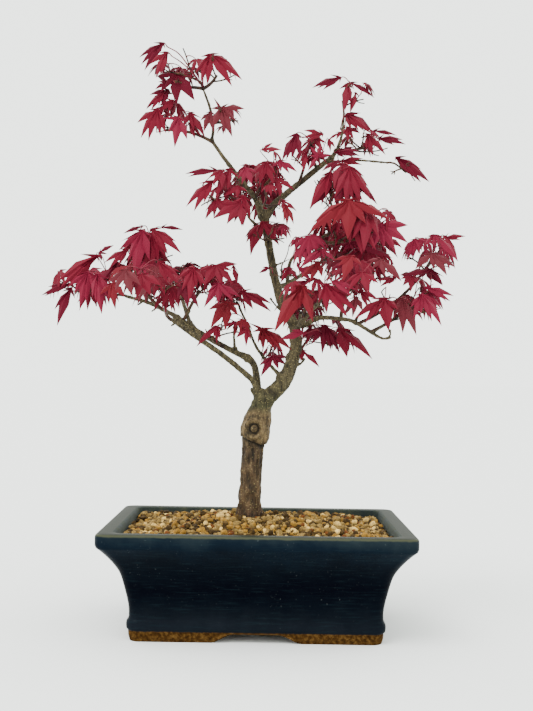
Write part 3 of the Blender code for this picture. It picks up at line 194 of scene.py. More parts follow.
# The foremost leaves of a mass: tint, depth, hub across and up, and the tips of its lobes
LEADING = {
    "plume_top": [
        ("wine", -12, (-88, 516), (-110, 502), (-108, 496), (-105, 491), (-97, 499)),
        ("crimson", -18, (-84, 506), (-94, 483), (-90, 485), (-84, 495), (-99, 494)),
        ("wine", -4, (-77, 491), (-95, 487), (-82, 500), (-71, 497), (-59, 487), (-60, 467), (-76, 463),
            (-88, 475)),
    ],
    "plume_over": [
        ("crimson", -20, (-46, 504), (-26, 476), (-27, 494), (-17, 482), (-48, 476), (-59, 485), (-54, 478)),
    ],
    "plume_under": [
        ("wine", -2, (-84, 477), (-104, 459), (-101, 471), (-98, 463), (-90, 460)),
        ("wine", -6, (-84, 483), (-94, 488), (-96, 476), (-91, 473)),
        ("ruby", -8, (-88, 472), (-103, 459), (-99, 456), (-92, 460)),
        ("ruby", -10, (-79, 465), (-92, 460), (-93, 453), (-87, 468), (-83, 454)),
    ],
    "plume_left": [
        ("crimson", -14, (-92, 456), (-110, 443), (-107, 430), (-100, 428), (-89, 432), (-84, 434)),
        ("carmine", -20, (-73, 447), (-76, 421), (-65, 427), (-82, 432), (-89, 445)),
        ("crimson", -8, (-65, 446), (-53, 433), (-59, 431), (-51, 441)),
        ("ruby", -8, (-64, 455), (-50, 433), (-53, 449), (-60, 437), (-69, 442)),
    ],
    "plume_right": [
        ("russet", -24, (-35, 456), (-14, 454), (-31, 433), (-25, 430), (-22, 443), (-42, 464), (-42, 437)),
        ("russet", -12, (-45, 455), (-54, 446), (-51, 437), (-42, 437)),
    ],
    "crown_left": [
        ("wine", -30, (-37, 399), (-66, 396), (-63, 393)),
        ("crimson", -36, (-41, 389), (-64, 366), (-57, 362), (-48, 368)),
        ("ruby", -34, (-33, 399), (-45, 391), (-41, 385), (-33, 383)),
        ("ruby", -28, (-27, 401), (-39, 375), (-28, 381), (-17, 391), (-37, 387)),
        ("crimson", -40, (-37, 371), (-47, 355), (-25, 360), (-18, 367), (-39, 359)),
        ("ruby", -44, (-16, 368), (-40, 355), (-28, 350), (-15, 348), (-33, 367)),
        ("carmine", -26, (-13, 403), (-20, 392), (-16, 388), (-7, 388), (-3, 398)),
        ("crimson", -34, (-19, 385), (-31, 376), (-20, 374), (-11, 380)),
        ("crimson", -36, (-14, 376), (-22, 353), (-14, 350), (-8, 355), (-27, 362)),
    ],
    "crown_centre": [
        ("crimson", -12, (1, 422), (19, 422), (11, 428), (8, 418)),
        ("ruby", -16, (5, 410), (-7, 397), (-1, 389), (14, 398), (12, 390), (3, 395)),
        ("carmine", -10, (17, 413), (33, 403), (26, 401), (18, 402), (10, 406)),
        ("ruby", -14, (15, 396), (30, 386), (18, 380), (7, 389)),
        ("wine", 24, (3, 392), (-9, 383), (4, 377), (17, 385), (-6, 392), (11, 395)),
    ],
    "crown_front": [
        ("crimson", -20, (20, 376), (33, 366), (27, 370), (22, 363)),
        ("scarlet", -30, (23, 370), (21, 355), (24, 352), (30, 353), (19, 362)),
    ],
    "crown_low": [
        ("crimson", 18, (-2, 359), (-13, 346), (-12, 341), (-8, 331), (2, 345), (-4, 342)),
        ("crimson", 22, (3, 362), (-12, 347), (-7, 336), (18, 341), (23, 350)),
        ("russet", 20, (14, 361), (29, 356), (25, 348), (18, 346), (10, 347)),
    ],
    "crown_over": [
        ("wine", -2, (32, 439), (19, 414), (23, 415), (28, 416), (36, 416)),
        ("ruby", 2, (56, 440), (38, 443), (37, 436), (42, 433)),
        ("crimson", -4, (41, 422), (38, 404), (35, 411), (43, 414)),
        ("carmine", -8, (51, 417), (42, 404), (44, 426), (53, 428), (63, 419), (47, 410)),
        ("ruby", 4, (61, 436), (63, 424), (67, 428), (60, 428)),
    ],
    "top_right": [
        ("wine", 24, (73, 498), (46, 488), (51, 487), (56, 485)),
        ("wine", 30, (82, 495), (105, 481), (100, 485)),
        ("ruby", 22, (79, 492), (78, 476), (77, 467), (81, 477)),
        ("crimson", 28, (87, 485), (82, 466), (84, 472), (84, 479)),
        ("carmine", 26, (79, 492), (76, 467), (82, 473)),
    ],
    "shoulder": [
        ("ruby", 14, (73, 445), (60, 436), (66, 439), (69, 437)),
        ("ruby", 18, (78, 462), (101, 445), (90, 446), (83, 447)),
        ("wine", 10, (68, 425), (90, 427), (87, 422), (77, 420)),
        ("wine", 22, (80, 464), (103, 447), (98, 450), (95, 447), (83, 452)),
        ("crimson", 16, (79, 450), (80, 435), (85, 438), (75, 442), (91, 444)),
        ("ruby", 12, (97, 443), (114, 424), (102, 422), (96, 427), (93, 436), (109, 431)),
        ("wine", 20, (103, 448), (125, 444), (119, 443)),
        ("wine", 16, (107, 440), (133, 435), (130, 439), (122, 433)),
        ("wine", 24, (72, 430), (91, 430), (92, 425), (86, 423), (88, 433)),
        ("crimson", 14, (73, 418), (93, 415), (94, 421)),
    ],
    "right_tip": [
        ("wine", 8, (123, 421), (137, 403), (146, 398), (154, 399), (128, 411), (146, 409)),
    ],
    "right_upper": [
        ("wine", -6, (69, 414), (55, 405), (62, 403), (76, 406)),
        ("crimson", -18, (62, 401), (44, 368), (58, 377), (50, 385), (67, 386)),
        ("wine", -10, (66, 390), (44, 371), (48, 375), (59, 380)),
        ("ruby", -14, (73, 410), (96, 389), (92, 397), (82, 379), (65, 386)),
        ("crimson", -24, (78, 405), (98, 376), (88, 372), (75, 371), (65, 377), (91, 388)),
        ("wine", -20, (81, 396), (104, 373), (97, 377), (76, 371), (65, 373), (88, 370)),
    ],
    "right_centre": [
        ("scarlet", -58, (76, 370), (42, 342), (46, 350), (75, 336), (111, 353), (99, 361), (61, 346),
            (90, 349)),
        ("crimson", -46, (91, 367), (110, 355), (102, 338), (90, 328), (80, 338), (74, 348)),
        ("crimson", -52, (83, 354), (77, 333), (88, 325), (100, 329), (71, 339), (96, 341)),
        ("carmine", -44, (103, 352), (128, 352), (128, 337), (118, 327), (107, 330), (97, 330)),
        ("wine", -34, (79, 337), (63, 332), (72, 327), (84, 328), (93, 325), (105, 328), (116, 325)),
    ],
    "right_inner": [
        ("carmine", -50, (54, 329), (41, 317), (35, 313), (46, 317), (65, 318), (63, 327)),
        ("scarlet", -48, (51, 319), (36, 304), (44, 301), (54, 305)),
        ("carmine", -46, (35, 312), (49, 314), (49, 307), (46, 302), (33, 319)),
        ("carmine", -42, (45, 303), (23, 292), (33, 295), (21, 296)),
    ],
    "right_middle": [
        ("crimson", -20, (112, 345), (126, 335), (121, 330), (115, 331)),
        ("crimson", -18, (121, 309), (104, 306), (107, 301), (114, 302)),
    ],
    "trunk_side": [
        ("ruby", -24, (27, 316), (19, 302), (21, 308), (34, 305)),
        ("wine", -20, (10, 316), (0, 311), (3, 316)),
        ("carmine", -28, (33, 342), (27, 333), (32, 329), (40, 333), (42, 340)),
    ],
    "trunk_front": [
        ("scarlet", -74, (37, 295), (14, 257), (21, 260), (46, 264), (34, 274), (48, 285), (21, 281)),
    ],
    "far_right_top": [
        ("crimson", -10, (164, 348), (177, 326), (174, 336)),
        ("carmine", -20, (154, 347), (176, 324), (164, 336), (145, 335), (170, 331), (152, 336)),
        ("carmine", -14, (138, 344), (131, 324), (136, 327), (128, 333), (143, 330), (149, 341)),
        ("russet", -26, (151, 330), (137, 316), (165, 311), (172, 318), (153, 315), (139, 327)),
        ("ruby", -10, (164, 346), (184, 348), (179, 344)),
    ],
    "far_right_low": [
        ("carmine", -20, (145, 299), (162, 281), (157, 279), (160, 291)),
        ("wine", -16, (148, 315), (163, 303), (160, 311), (153, 305), (141, 308)),
        ("russet", -12, (137, 314), (125, 312), (129, 307), (140, 306)),
        ("crimson", -40, (109, 289), (83, 270), (92, 266), (113, 261), (101, 272), (121, 278)),
        ("russet", -32, (125, 290), (126, 259), (138, 258), (130, 273), (117, 271)),
        ("carmine", -38, (141, 293), (134, 271), (140, 274), (150, 269), (159, 266), (131, 280)),
        ("carmine", -28, (145, 300), (171, 293), (168, 288), (159, 292)),
        ("wine", -22, (152, 316), (162, 302), (158, 305), (143, 312), (125, 310), (163, 309)),
        ("ruby", -26, (134, 310), (124, 307), (126, 301), (133, 296), (140, 302)),
    ],
    "lower_right": [
        ("wine", 2, (60, 267), (48, 249), (58, 241), (66, 244), (74, 242), (41, 254), (76, 251)),
        ("ruby", 4, (47, 266), (39, 252), (44, 248), (51, 256)),
        ("ruby", -4, (72, 264), (103, 237), (95, 242), (80, 237), (87, 249)),
        ("crimson", 0, (41, 244), (56, 229), (39, 233), (48, 237)),
        ("carmine", -12, (43, 259), (19, 253), (30, 261)),
    ],
    "left_top": [
        ("wine", -14, (-103, 352), (-121, 345), (-114, 348)),
        ("wine", -8, (-88, 352), (-68, 350), (-74, 350)),
        ("crimson", -22, (-95, 348), (-68, 327), (-73, 336), (-80, 325), (-88, 333)),
        ("carmine", -34, (-101, 345), (-121, 326), (-119, 334), (-107, 301), (-113, 316), (-94, 318)),
        ("ruby", -26, (-94, 344), (-103, 308), (-88, 317), (-95, 306), (-82, 322)),
        ("ruby", -16, (-101, 346), (-124, 324), (-118, 314), (-107, 311), (-82, 320)),
    ],
    "left_outer": [
        ("crimson", -32, (-140, 323), (-175, 300), (-172, 295), (-166, 295), (-151, 308)),
        ("wine", -26, (-164, 298), (-190, 288), (-187, 287), (-184, 295)),
        ("wine", -34, (-162, 294), (-174, 261), (-176, 274)),
        ("carmine", -44, (-146, 307), (-153, 276), (-147, 280), (-158, 287), (-163, 293), (-138, 289)),
        ("carmine", -50, (-137, 305), (-133, 271), (-138, 280), (-126, 282), (-141, 283)),
        ("wine", -20, (-141, 327), (-128, 334), (-138, 319)),
        ("wine", -24, (-124, 318), (-139, 299), (-134, 309), (-113, 310), (-123, 301)),
    ],
    "left_middle": [
        ("scarlet", -66, (-122, 296), (-119, 274), (-124, 280), (-111, 284), (-132, 285)),
        ("crimson", -30, (-114, 329), (-135, 317), (-131, 311), (-122, 313)),
        ("ruby", -40, (-82, 313), (-67, 309), (-69, 306)),
    ],
    "left_inner": [
        ("crimson", -22, (-38, 317), (-19, 318), (-22, 300), (-32, 298), (-48, 299), (-52, 311)),
        ("ruby", -14, (-23, 318), (-18, 311), (-19, 301)),
        ("carmine", -34, (-35, 300), (-47, 279), (-35, 281), (-16, 288), (-45, 291), (-22, 284)),
    ],
    "left_centre": [
        ("scarlet", -16, (-27, 285), (-44, 277), (-42, 262), (-29, 260), (-18, 272), (-15, 281)),
        ("ruby", -4, (-16, 296), (-5, 279), (12, 278), (12, 285), (-23, 288)),
    ],
    "left_low": [
        ("ruby", -34, (-35, 263), (-53, 245), (-35, 247), (-47, 254), (-32, 251)),
        ("crimson", -26, (-10, 261), (-10, 246), (-6, 251), (-19, 253)),
        ("carmine", -22, (-21, 268), (-28, 263), (-11, 263)),
    ],
    "inner_low": [
        ("scarlet", 22, (4, 264), (23, 243), (16, 244), (5, 243), (0, 249), (31, 245), (-9, 268)),
        ("carmine", 16, (14, 239), (3, 220), (1, 229), (19, 226), (26, 230), (28, 237)),
    ],
    "front_left": [
        ("russet", -112, (-105, 303), (-118, 291), (-92, 290), (-99, 282), (-112, 285)),
        ("crimson", -108, (-93, 300), (-96, 280), (-85, 283), (-103, 288), (-77, 291)),
        ("ruby", -104, (-80, 311), (-65, 294), (-63, 299), (-72, 293)),
        ("crimson", -106, (-52, 306), (-61, 287), (-49, 289), (-64, 297), (-42, 291), (-55, 278)),
        ("wine", -100, (-59, 295), (-50, 280), (-47, 274), (-65, 281), (-56, 273)),
    ],
    "front_right": [
        ("russet", -116, (97, 314), (114, 297), (100, 300), (90, 306), (86, 312)),
        ("scarlet", -108, (75, 317), (64, 308), (68, 297), (61, 313), (83, 309)),
        ("crimson", -122, (82, 303), (71, 288), (88, 286), (69, 294), (95, 294)),
        ("crimson", -112, (54, 294), (74, 284), (79, 273), (72, 268), (56, 271), (49, 278), (66, 278)),
        ("carmine", -118, (59, 296), (75, 284), (79, 289), (70, 294)),
        ("russet", -108, (79, 285), (69, 269), (76, 268), (84, 273)),
        ("ruby", -104, (82, 290), (97, 283), (92, 279), (76, 284), (89, 276)),
        ("wine", -100, (73, 313), (65, 302), (79, 302), (58, 307)),
    ],
}

# Long stalks that arch out of the crown, by the mass whose leaf each one carries
LONG_STALKS = {
    "plume_top": [
        [(-53, -9, 478), (-56, -9, 483), (-64, -10, 494), (-74.5, -12, 507), (-85, -12, 513)],
        [(-55.5, -9, 481), (-63, -12, 491), (-72.5, -14, 499), (-80.5, -16, 503.5)],
    ],
    "plume_over": [
        [(-52.5, -9, 477), (-52.5, -14, 485), (-50, -19, 495), (-47, -20, 500)],
    ],
}

# Gaps of sky through and beside the crown, seen from in front: across, up and radius, at the trunk
OPEN_SKY = [
    (-60, 466, 10.8), (-68, 474, 4.5), (-36, 476, 7.2), (-32, 483, 4.5), (-62, 337, 11.7),
    (-74, 322, 3.6), (-78, 335, 3.6), (36, 366, 9.9), (41, 385, 6.3), (33, 353, 3.6), (25, 327, 3.6),
    (-3, 279, 7.2), (9, 271, 6.3), (20, 267, 3.6), (-47, 287, 5.4), (-48, 270, 6.3), (-29, 252, 5.4),
    (-19, 242, 4.5), (4, 248, 3.6), (66, 283, 3.6), (78, 280, 3.6), (133, 321, 4.5), (105, 299, 5.4),
    (62, 467, 10.8), (124, 379, 8.1), (142, 361, 9), (91, 454, 3.6), (111, 456, 8.1), (51, 459, 9),
    (-10, 432, 14.4), (-27, 416, 3.6), (-72, 422, 18), (-90, 413, 16.2), (-50, 407, 4.5),
    (-99, 368, 19.8), (80, 428, 2.7), (136, 426, 7.2), (148, 419, 4.5), (126, 399, 7.2), (-179, 324, 9),
    (-192, 306, 7.2), (-161, 333, 5.4), (-8, 316, 8.1), (-13, 329, 8.1), (-30, 342, 18), (31, 393, 2.7),
    (45, 362, 3.6), (153, 361, 5.4), (171, 359, 4.5), (123, 250, 6.3), (79, 227, 9), (-75, 505, 5.4),
    (-63, 516, 7.2), (7, 417, 3.1), (-49, 463, 4.5), (-27, 513, 7.2), (-49, 517, 5.4), (126, 300, 6.3),
]

# Stretches of trunk and bough that no leaf hides from in front: across, up and radius
BARE_LIMBS = [
    (-32, 414, 2.7), (-23, 403, 2.7), (-14, 395, 3.6), (-7, 388, 3.6), (-2, 379, 3.6), (2, 370, 3.6),
    (2, 359, 4.5), (5, 350, 4.5), (8, 338, 4.5), (10, 327, 4.5), (12, 318, 3.6), (36, 397, 3.6),
    (22, 386, 3.6), (14, 379, 3.6), (49, 408, 3.6), (29, 260, 4.5), (24, 248, 5.4),
]

# Short dead ends and bud spurs: points with their radius
SPURS = [
    [(31, 3, 232, 1.9), (36.7, 3, 231, 1.3), (40.2, 2.6, 233.6, 1.1), (41.8, 2, 236.4, 1.2)],
    [(24.6, 12, 277.5, 1.4), (19.5, 9.6, 281, 1.0), (14.5, 7, 286, 0.9), (11, 5, 290.5, 1.1)],
    [(-60.5, -11, 265, 1.6), (-62, -12, 271, 1.2), (-63.4, -12.4, 278, 1.0), (-66, -13, 281.5, 0.9)],
    [(-62.6, -12.2, 274, 1.0), (-60, -13.4, 277.6, 0.8)],
    [(-71, -11, 269.5, 1.5), (-74, -10.6, 266.4, 1.2), (-77.6, -10, 263.6, 0.8)],
    [(-19.5, -2, 242, 1.9), (-20.6, -4.6, 246.5, 1.4), (-21.2, -6, 255, 1.2), (-21.4, -7.6, 265, 1.0)],
    [(-1.5, -2, 204, 2.4), (-4.6, -3.6, 207.6, 1.5), (-5.6, -4, 209.6, 1.0)],
    [(100, -21.6, 260, 1.2), (104.7, -22, 262.3, 1.0), (108, -23, 265.2, 0.9), (110.4, -24, 267.8, 0.9)],
    [(110.6, -24.6, 254.8, 1.1), (114.4, -25.6, 256, 0.9), (116.2, -26, 259, 0.8), (115.4, -26, 262, 1.2)],
    [(86, -18, 270, 1.5), (87.6, -19.6, 273.6, 1.1), (92, -21, 277.5, 0.9), (98, -22, 282, 0.8)],
    [(33.5, 3, 243.5, 1.6), (36.6, -2, 247, 1.0), (37.6, -4.4, 250.4, 1.0)],
    [(64.5, 24.6, 421.5, 2.0), (67.6, 22.4, 427.5, 1.5), (69, 20.6, 430.6, 1.2)],
    [(52, 22, 412.6, 1.7), (49.6, 20, 417.4, 1.1), (49, 19, 420.4, 1.2)],
    [(5, 12, 352, 2.2), (-2, 8, 357, 1.6), (-8.4, 4, 361.6, 1.3), (-12, 1, 367, 1.0)],
    [(12.4, 14, 320, 1.6), (17, 12, 322.5, 1.0), (22, 10, 324.4, 0.8), (27, 8, 327, 0.7)],
    [(-90, -11, 280.6, 1.4), (-92.6, -14, 277.6, 0.9), (-94.4, -15, 276, 0.9)],
    [(-103, -9.4, 286, 1.4), (-105.4, -12, 283, 0.9), (-107, -13, 281.6, 0.8)],
    [(-106, -9, 287, 1.3), (-108, -6, 291, 0.9), (-109, -4, 295, 0.8)],
]

# Thickenings where a side shoot was shed: place and radius
KNOBS = [
    (-9, 1, 236.4, 4.2), (-72, -12, 271, 3.5), (41.6, 2.1, 236.2, 1.7), (11, 5, 290.4, 1.4),
    (-20.4, -3.6, 244.5, 2.5), (-41, -6, 253.4, 2.9), (86, -18, 268.6, 2.3), (73, -15.6, 272, 2.4),
    (115.6, -26, 262, 1.5), (65, 24.6, 423, 3.2), (3.4, 10, 366.6, 6.0), (31.2, 3.6, 237, 6.4),
    (34.4, 6, 253.6, 6.0), (-44, -6, 432, 2.1), (20.6, 12.4, 290, 4.9), (13.4, 13.8, 314, 4.2),
    (8.4, 12.8, 341, 4.0), (23.4, 1, 219, 7.0),
]
SCAR = Vector((-2.1, -12.6, 173.8))  # where a shoot was cut off the front of the trunk

# ---- the growth rule, as in the solids, then carried to finer twigs ----------------------------

SEED = 4100
SHAPE_SEED = 29
LEAVES_PER_TWIG = 3
STEM_RADII = (1.75, 1.1)
TWIG_RADII = (0.85, 0.6)
FINE_RADII = (0.6, 0.42)
STALK_RADII = (0.52, 0.4)
LONG_RADII = (0.8, 0.5)
STALK_SHARE = (0.3, 1.35)  # shortest and longest stalk, by its leaf's length
STALK_BEND = -0.45  # sharpest turn of a stalk into its leaf, as a cosine
STEM_BUDS = (0.7, 0.85, 0.97)
TWIG_BUDS = (1.0, 0.85, 0.7)
FINE_BUDS = (1.0, 0.6)
HEART_DROP = 0.35  # how far under its mass's middle a stem ends, by the half height
TWIG_LEVELS = 0.45  # how far above and below the middle twigs end, by the half height,
TWIG_SPREAD = 0.62  # and how far out, by the half widths
TWIG_FORKS = (0.45, 0.95)  # where twigs leave their stem, as shares of its length
FINE_FORKS = (0.5, 0.7)
FINE_SPLAY = (0.55, 0.9)
FINE_LENGTHS = (0.25, 0.45)
TWIG_TRIES = 40
LEAF_TRIES = 60
GOLDEN_ANGLE = math.pi * (3.0 - math.sqrt(5.0))
SPACE_MARGIN = 1.2  # how far leaves reach in the space of a mass
FRONT_MARGIN = 0.95  # the same where the foremost leaves are placed one by one
TURN_FROM = 40.0  # leaves turn to the front where their mass stands this side of it,
TURN_RANGE = 45.0  # fully so where it stands this much nearer
LEAF_FACTOR = 1.45  # real leaves for each one of the solid
LEAF_SCALE = 0.86  # and how long they are beside it
LEAF_SPACING = 0.42  # least distance between two hubs, by the longer blade
LEAF_SIZES = (0.62, 1.12)
LEAF_SHARES = (0.45, 0.95)  # how far out leaves stand, by their mass's half sizes
LEAF_DROOPS = (12.0, 68.0)
LEAF_ROLL = 0.45
LEAF_BENDS = (0.75, 1.25)
STALK_RISES = (0.5, 1.0)
EYE = (8.0, -959.5, 219.8)  # where the plant is seen from in front, for gaps and foremost leaves

# One leaf: angle, length and half-width of each lobe
LOBES = [
    (-118, 0.42, 0.07), (-78, 0.76, 0.12), (-39, 0.96, 0.155), (0, 1.0, 0.165),
    (39, 0.96, 0.155), (78, 0.76, 0.12), (118, 0.42, 0.07),
]
LOBE_SECTIONS = ((0.47, 1.0, 1.0), (0.76, 0.5, 0.6))  # how far out, and the width and ridge left there
STUB_LOBE = 0.5  # a lobe shorter than this has no sections
WEB = 0.088  # how far out the blade joins two lobes, less so the wider they spread
RIDGE = 0.06
LEAF_KINDS = 5
LEAF_BEND = 0.85
LEADING_LEANS = (0.35, 0.8)  # how far a foremost leaf's face is tipped up
LEADING_SWING = 0.45  # and turned out, at the side of its mass
LEADING_ARCH = 0.07  # how far a foremost leaf's lobes arch out of its plane
LEADING_REACH = 24.0  # the longest stalk of a foremost leaf
LOBE_GAP = 1.05  # a wider gap between two given lobes, in radians, gets a shorter one
LOBE_WIDTHS = (0.115, 0.17)  # half-width of a given lobe, by its length

TINTS = {
    "crimson": "#5b1120", "carmine": "#631528", "ruby": "#570f1e", "scarlet": "#5d151e",
    "wine": "#4d0c1c", "russet": "#521d24",
}

# ---- gravel and bark ---------------------------------------------------------------------------

GRAINS = {  # share of the grains, and the three shades of each
    "grit_tan": (0.36, ("#45331a", "#745c2f", "#a58750")),
    "grit_brown": (0.35, ("#1a1005", "#392911", "#59431f")),
    "grit_ochre": (0.18, ("#533b12", "#7f5d23", "#a17b37")),
    "grit_white": (0.06, ("#87713f", "#c09d58", "#e0c178")),
    "grit_rust": (0.05, ("#3a1d0c", "#57300e", "#70441b")),
}
GRAVEL_SEED = 515
GRAIN_SEED = 77
GRAIN_SIZES = (3.2, 3.8, 4.4, 5.0, 5.6, 6.4)
GRAIN_PITCH = 4.3  # between the places of a row, before they are thrown about by the stray
ROW_PITCH = GRAIN_PITCH * 0.87
GRAIN_STRAY = 1.3
GRAIN_KINDS = 6
GRAIN_LUMPS = (0.82, 1.16)  # how far in and out a grain's corners are knocked
GRAIN_SPREAD = (0.9, 1.1)
GRAIN_SQUASH = ((0.9, 1.2), (0.8, 1.05), (0.65, 0.9))
GRAIN_TOSS = 0.5  # up or down
GRAIN_LAYERS = ((1.0, 0.3), (0.22, 0.62))  # share of the places filled, and lift by a grain's size
WHITE_GROWTH = 1.1  # the white grains are a little larger
BED_INSET = 17.3  # from the rim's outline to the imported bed
GRAVEL_INSET = 16.6
GRAVEL_SUNK = 2.4  # how far under the gravel's surface its grains lie before their lift
BED_DEPTH = 2.6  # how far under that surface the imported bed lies
BED_LUMPS = (5.0, 0.9)  # how far apart and how high
BED_FLOOR = 30.0
BED_TAPER = 0.88  # its outline at the floor beside that at the top
TRUNK_CLEARANCE = 11.0
TRUNK_SIDES = 44
TRUNK_STEP = 2.2
BARK_VOXEL = 0.55
LIMB_STEP = 3.0
SPUR_STEP = 2.0
STEM_STEP = 4.0
FORK_SINK = 9.0  # how far under the fork's face a limb's foot starts
FORK_HEART = (4.6, 0.0)  # and where it is drawn to, by this share of the way
FORK_DRAW = 0.45
TIP_SINK = 4.0  # how far back in the tip of another a limb starts that carries it on
SIDE_SINK = 1.5  # and how far back in its middle one that stands out at its side
FORK_COLLAR = (0.95, 1.08)  # a foot's thickness there and at the surface, by that of the limb
SIDE_COLLAR = (1.15, 1.22)
OLD_BARK = (212.0, 196.0)  # heights between which the trunk's bark takes over from the limbs'
FURROWS = (176.0, 150.0)  # and between which its furrows deepen
FURROW_SIZE = (3.2, 17.0)  # across and along the trunk
STRAND_SIZE = (2.0, 9.0)  # the same for the fine strands on every limb
PORE_SIZE = 0.9
GRAFT_LIP = 160.6  # its height in the middle, and how it falls to the right
GRAFT_SLOPE = 0.42
GRAFT_BACK = 2.5  # how much higher it is behind
SCAR_FRONT = -3.0  # the scar marks the bark on this side only
SCAR_STUB = 2.5  # radius of the stub in its middle
SCAR_GROOVE = (4.2, 1.3)  # radius and width
SCAR_RING = (7.6, 1.9)

pot_low, pot_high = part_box("pot")
SHIFT = Vector((
    (pot_low.x + pot_high.x) / 2 / MM - POT_MIDDLE,
    (pot_low.y + pot_high.y) / 2 / MM,
    pot_low.z / MM,
))
INTO_FRAME = Matrix.Scale(MM, 4) @ Matrix.Translation(SHIFT)


# ---- helpers -----------------------------------------------------------------------------------

def colour(code):
    """An sRGB hex code as linear values."""
    parts = [int(code[i:i + 2], 16) / 255 for i in (1, 3, 5)]
    return (*(p / 12.92 if p <= 0.04045 else ((p + 0.055) / 1.055) ** 2.4 for p in parts), 1.0)


def plug(tree, node, values):
    """Inputs of a node set to values, or linked to a socket or to another node's first output in use."""
    for key, value in values.items():
        if isinstance(value, bpy.types.Node):
            value = next(socket for socket in value.outputs if socket.enabled)
        if isinstance(value, bpy.types.NodeSocket):
            tree.links.new(value, node.inputs[key])
        else:
            node.inputs[key].default_value = value


def add(tree, kind, values, stops=(), span=(), **settings):
    """A node with its settings and inputs, a ramp's stops, or the limits that a range goes from and to."""
    made = tree.nodes.new(kind)
    for key, value in settings.items():
        setattr(made, key, value)
    for _ in stops[2:]:
        made.color_ramp.elements.new(1.0)
    for number, (spot, shade) in enumerate(stops):
        element = made.color_ramp.elements[number]
        element.position = spot
        element.color = colour(shade) if isinstance(shade, str) else (shade, shade, shade, 1.0)
    plug(tree, made, dict(enumerate(span, 1)))
    plug(tree, made, values)
    return made


def spacing(*sizes):
    """The scale of a pattern whose features are this many millimetres across, one number or three."""
    scales = [1.0 / (size * MM) for size in sizes]
    return scales[0] if len(scales) == 1 else scales


def new_material(name):
    """A material with its node tree, its shader and the Object coordinates."""
    made = bpy.data.materials.new(name)
    made.use_nodes = True
    tree = made.node_tree
    return made, tree, tree.nodes["Principled BSDF"], add(tree, "ShaderNodeTexCoord", {}).outputs["Object"]


def in_scene(name, data):
    obj = bpy.data.objects.new(name, data)
    bpy.context.scene.collection.objects.link(obj)
    return obj


def finish_piece(name, mesh, finishes, nodes=(), sharp=None):
    """The mesh put in its place, in metres, as a piece that rides on the plant."""
    mesh.transform(INTO_FRAME)
    mesh.name = name
    mesh.materials.clear()
    for finish in finishes:
        mesh.materials.append(finish)
    mesh.polygons.foreach_set("use_smooth", [True] * len(mesh.polygons))
    if sharp is not None:
        mesh.set_sharp_from_angle(angle=math.radians(sharp))
    obj = in_scene(name, mesh)
    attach(obj, "root")
    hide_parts(*nodes)
    return obj


def mesh_of(shape):
    mesh = bpy.data.meshes.new("shape")
    shape.to_mesh(mesh)
    shape.free()
    return mesh


def closed(shape, edges=()):
    """The shape as a mesh, with a run of open edges capped and every face turned outwards."""
    if edges:
        bmesh.ops.contextual_create(shape, geom=edges)
    bmesh.ops.recalc_face_normals(shape, faces=shape.faces)
    return mesh_of(shape)


def applied(data, *modifiers):
    """A mesh or curve after modifiers, each given as its kind and its settings."""
    obj = in_scene("working", data)
    for kind, settings in modifiers:
        modifier = obj.modifiers.new(kind, kind)
        for key, value in settings.items():
            setattr(modifier, key, value)
    bpy.context.view_layer.update()
    made = bpy.data.meshes.new_from_object(obj.evaluated_get(bpy.context.evaluated_depsgraph_get()))
    bpy.data.objects.remove(obj, do_unlink=True)
    return made


def pull(shape, edges, move):
    """Extrudes a run of edges and moves each of its new points by a rule."""
    made = bmesh.ops.extrude_edge_only(shape, edges=edges)["geom"]
    fresh = {part for part in made if isinstance(part, bmesh.types.BMVert)}
    for vert in fresh:
        move(vert)
    return [part for part in made if isinstance(part, bmesh.types.BMEdge) and fresh.issuperset(part.verts)]


def tubes(runs, resolution):
    """Round tapering rods through (x, y, z, radius) points, all in one mesh."""
    curve = bpy.data.curves.new("rods", "CURVE")
    curve.dimensions = "3D"
    curve.bevel_depth = 1.0
    curve.bevel_resolution = resolution
    curve.use_fill_caps = True
    for points in runs:
        spline = curve.splines.new("POLY")
        spline.points.add(len(points) - 1)
        for spot, point in zip(spline.points, points):
            spot.co = (*point.xyz, 1.0)
            spot.radius = point.w
    shape = bmesh.new()
    shape.from_mesh(applied(curve))
    bmesh.ops.remove_doubles(shape, verts=shape.verts, dist=0.001)
    return closed(shape)


def arrays_of(shape):
    """A small shape as an array of points and a list of faces, for copies."""
    shape.verts.index_update()
    points = np.array([vert.co[:] for vert in shape.verts])
    faces = [[vert.index for vert in face.verts] for face in shape.faces]
    shape.free()
    return points, faces


def joined(copies):
    """One mesh from many (points, faces) copies."""
    points, faces, count = [], [], 0
    for spots, rows in copies:
        points.append(spots)
        faces += [[i + count for i in row] for row in rows]
        count += len(spots)
    mesh = bpy.data.meshes.new("joined")
    mesh.from_pydata(np.concatenate(points).tolist(), [], faces)
    return mesh


def smooth(knots, step):
    """Points on a Catmull-Rom curve through knots, which may carry more values after their place."""
    rows = [Vector(knot) for knot in knots]
    ends = [2.0 * rows[0] - rows[1]] + rows + [2.0 * rows[-1] - rows[-2]]
    points = [rows[0]]
    for a, b, c, d in zip(ends, ends[1:], ends[2:], ends[3:]):
        parts = max(1, round((c.xyz - b.xyz).length / step))
        for i in range(1, parts + 1):
            t = i / parts
            points.append(0.5 * (
                2.0 * b + (c - a) * t + (2.0 * a - 5.0 * b + 4.0 * c - d) * t * t
                + (3.0 * b - a - 3.0 * c + d) * t * t * t
            ))
    return points


def along(points, share):
    """The point at a share of a path's length, with what is left of the path after it."""
    lengths = [(b.xyz - a.xyz).length for a, b in zip(points, points[1:])]
    left = share * sum(lengths)
    for i, length in enumerate(lengths):
        if left <= length:
            return [points[i].lerp(points[i + 1], left / length)] + points[i + 1:]
        left -= length
    return [points[-1]]


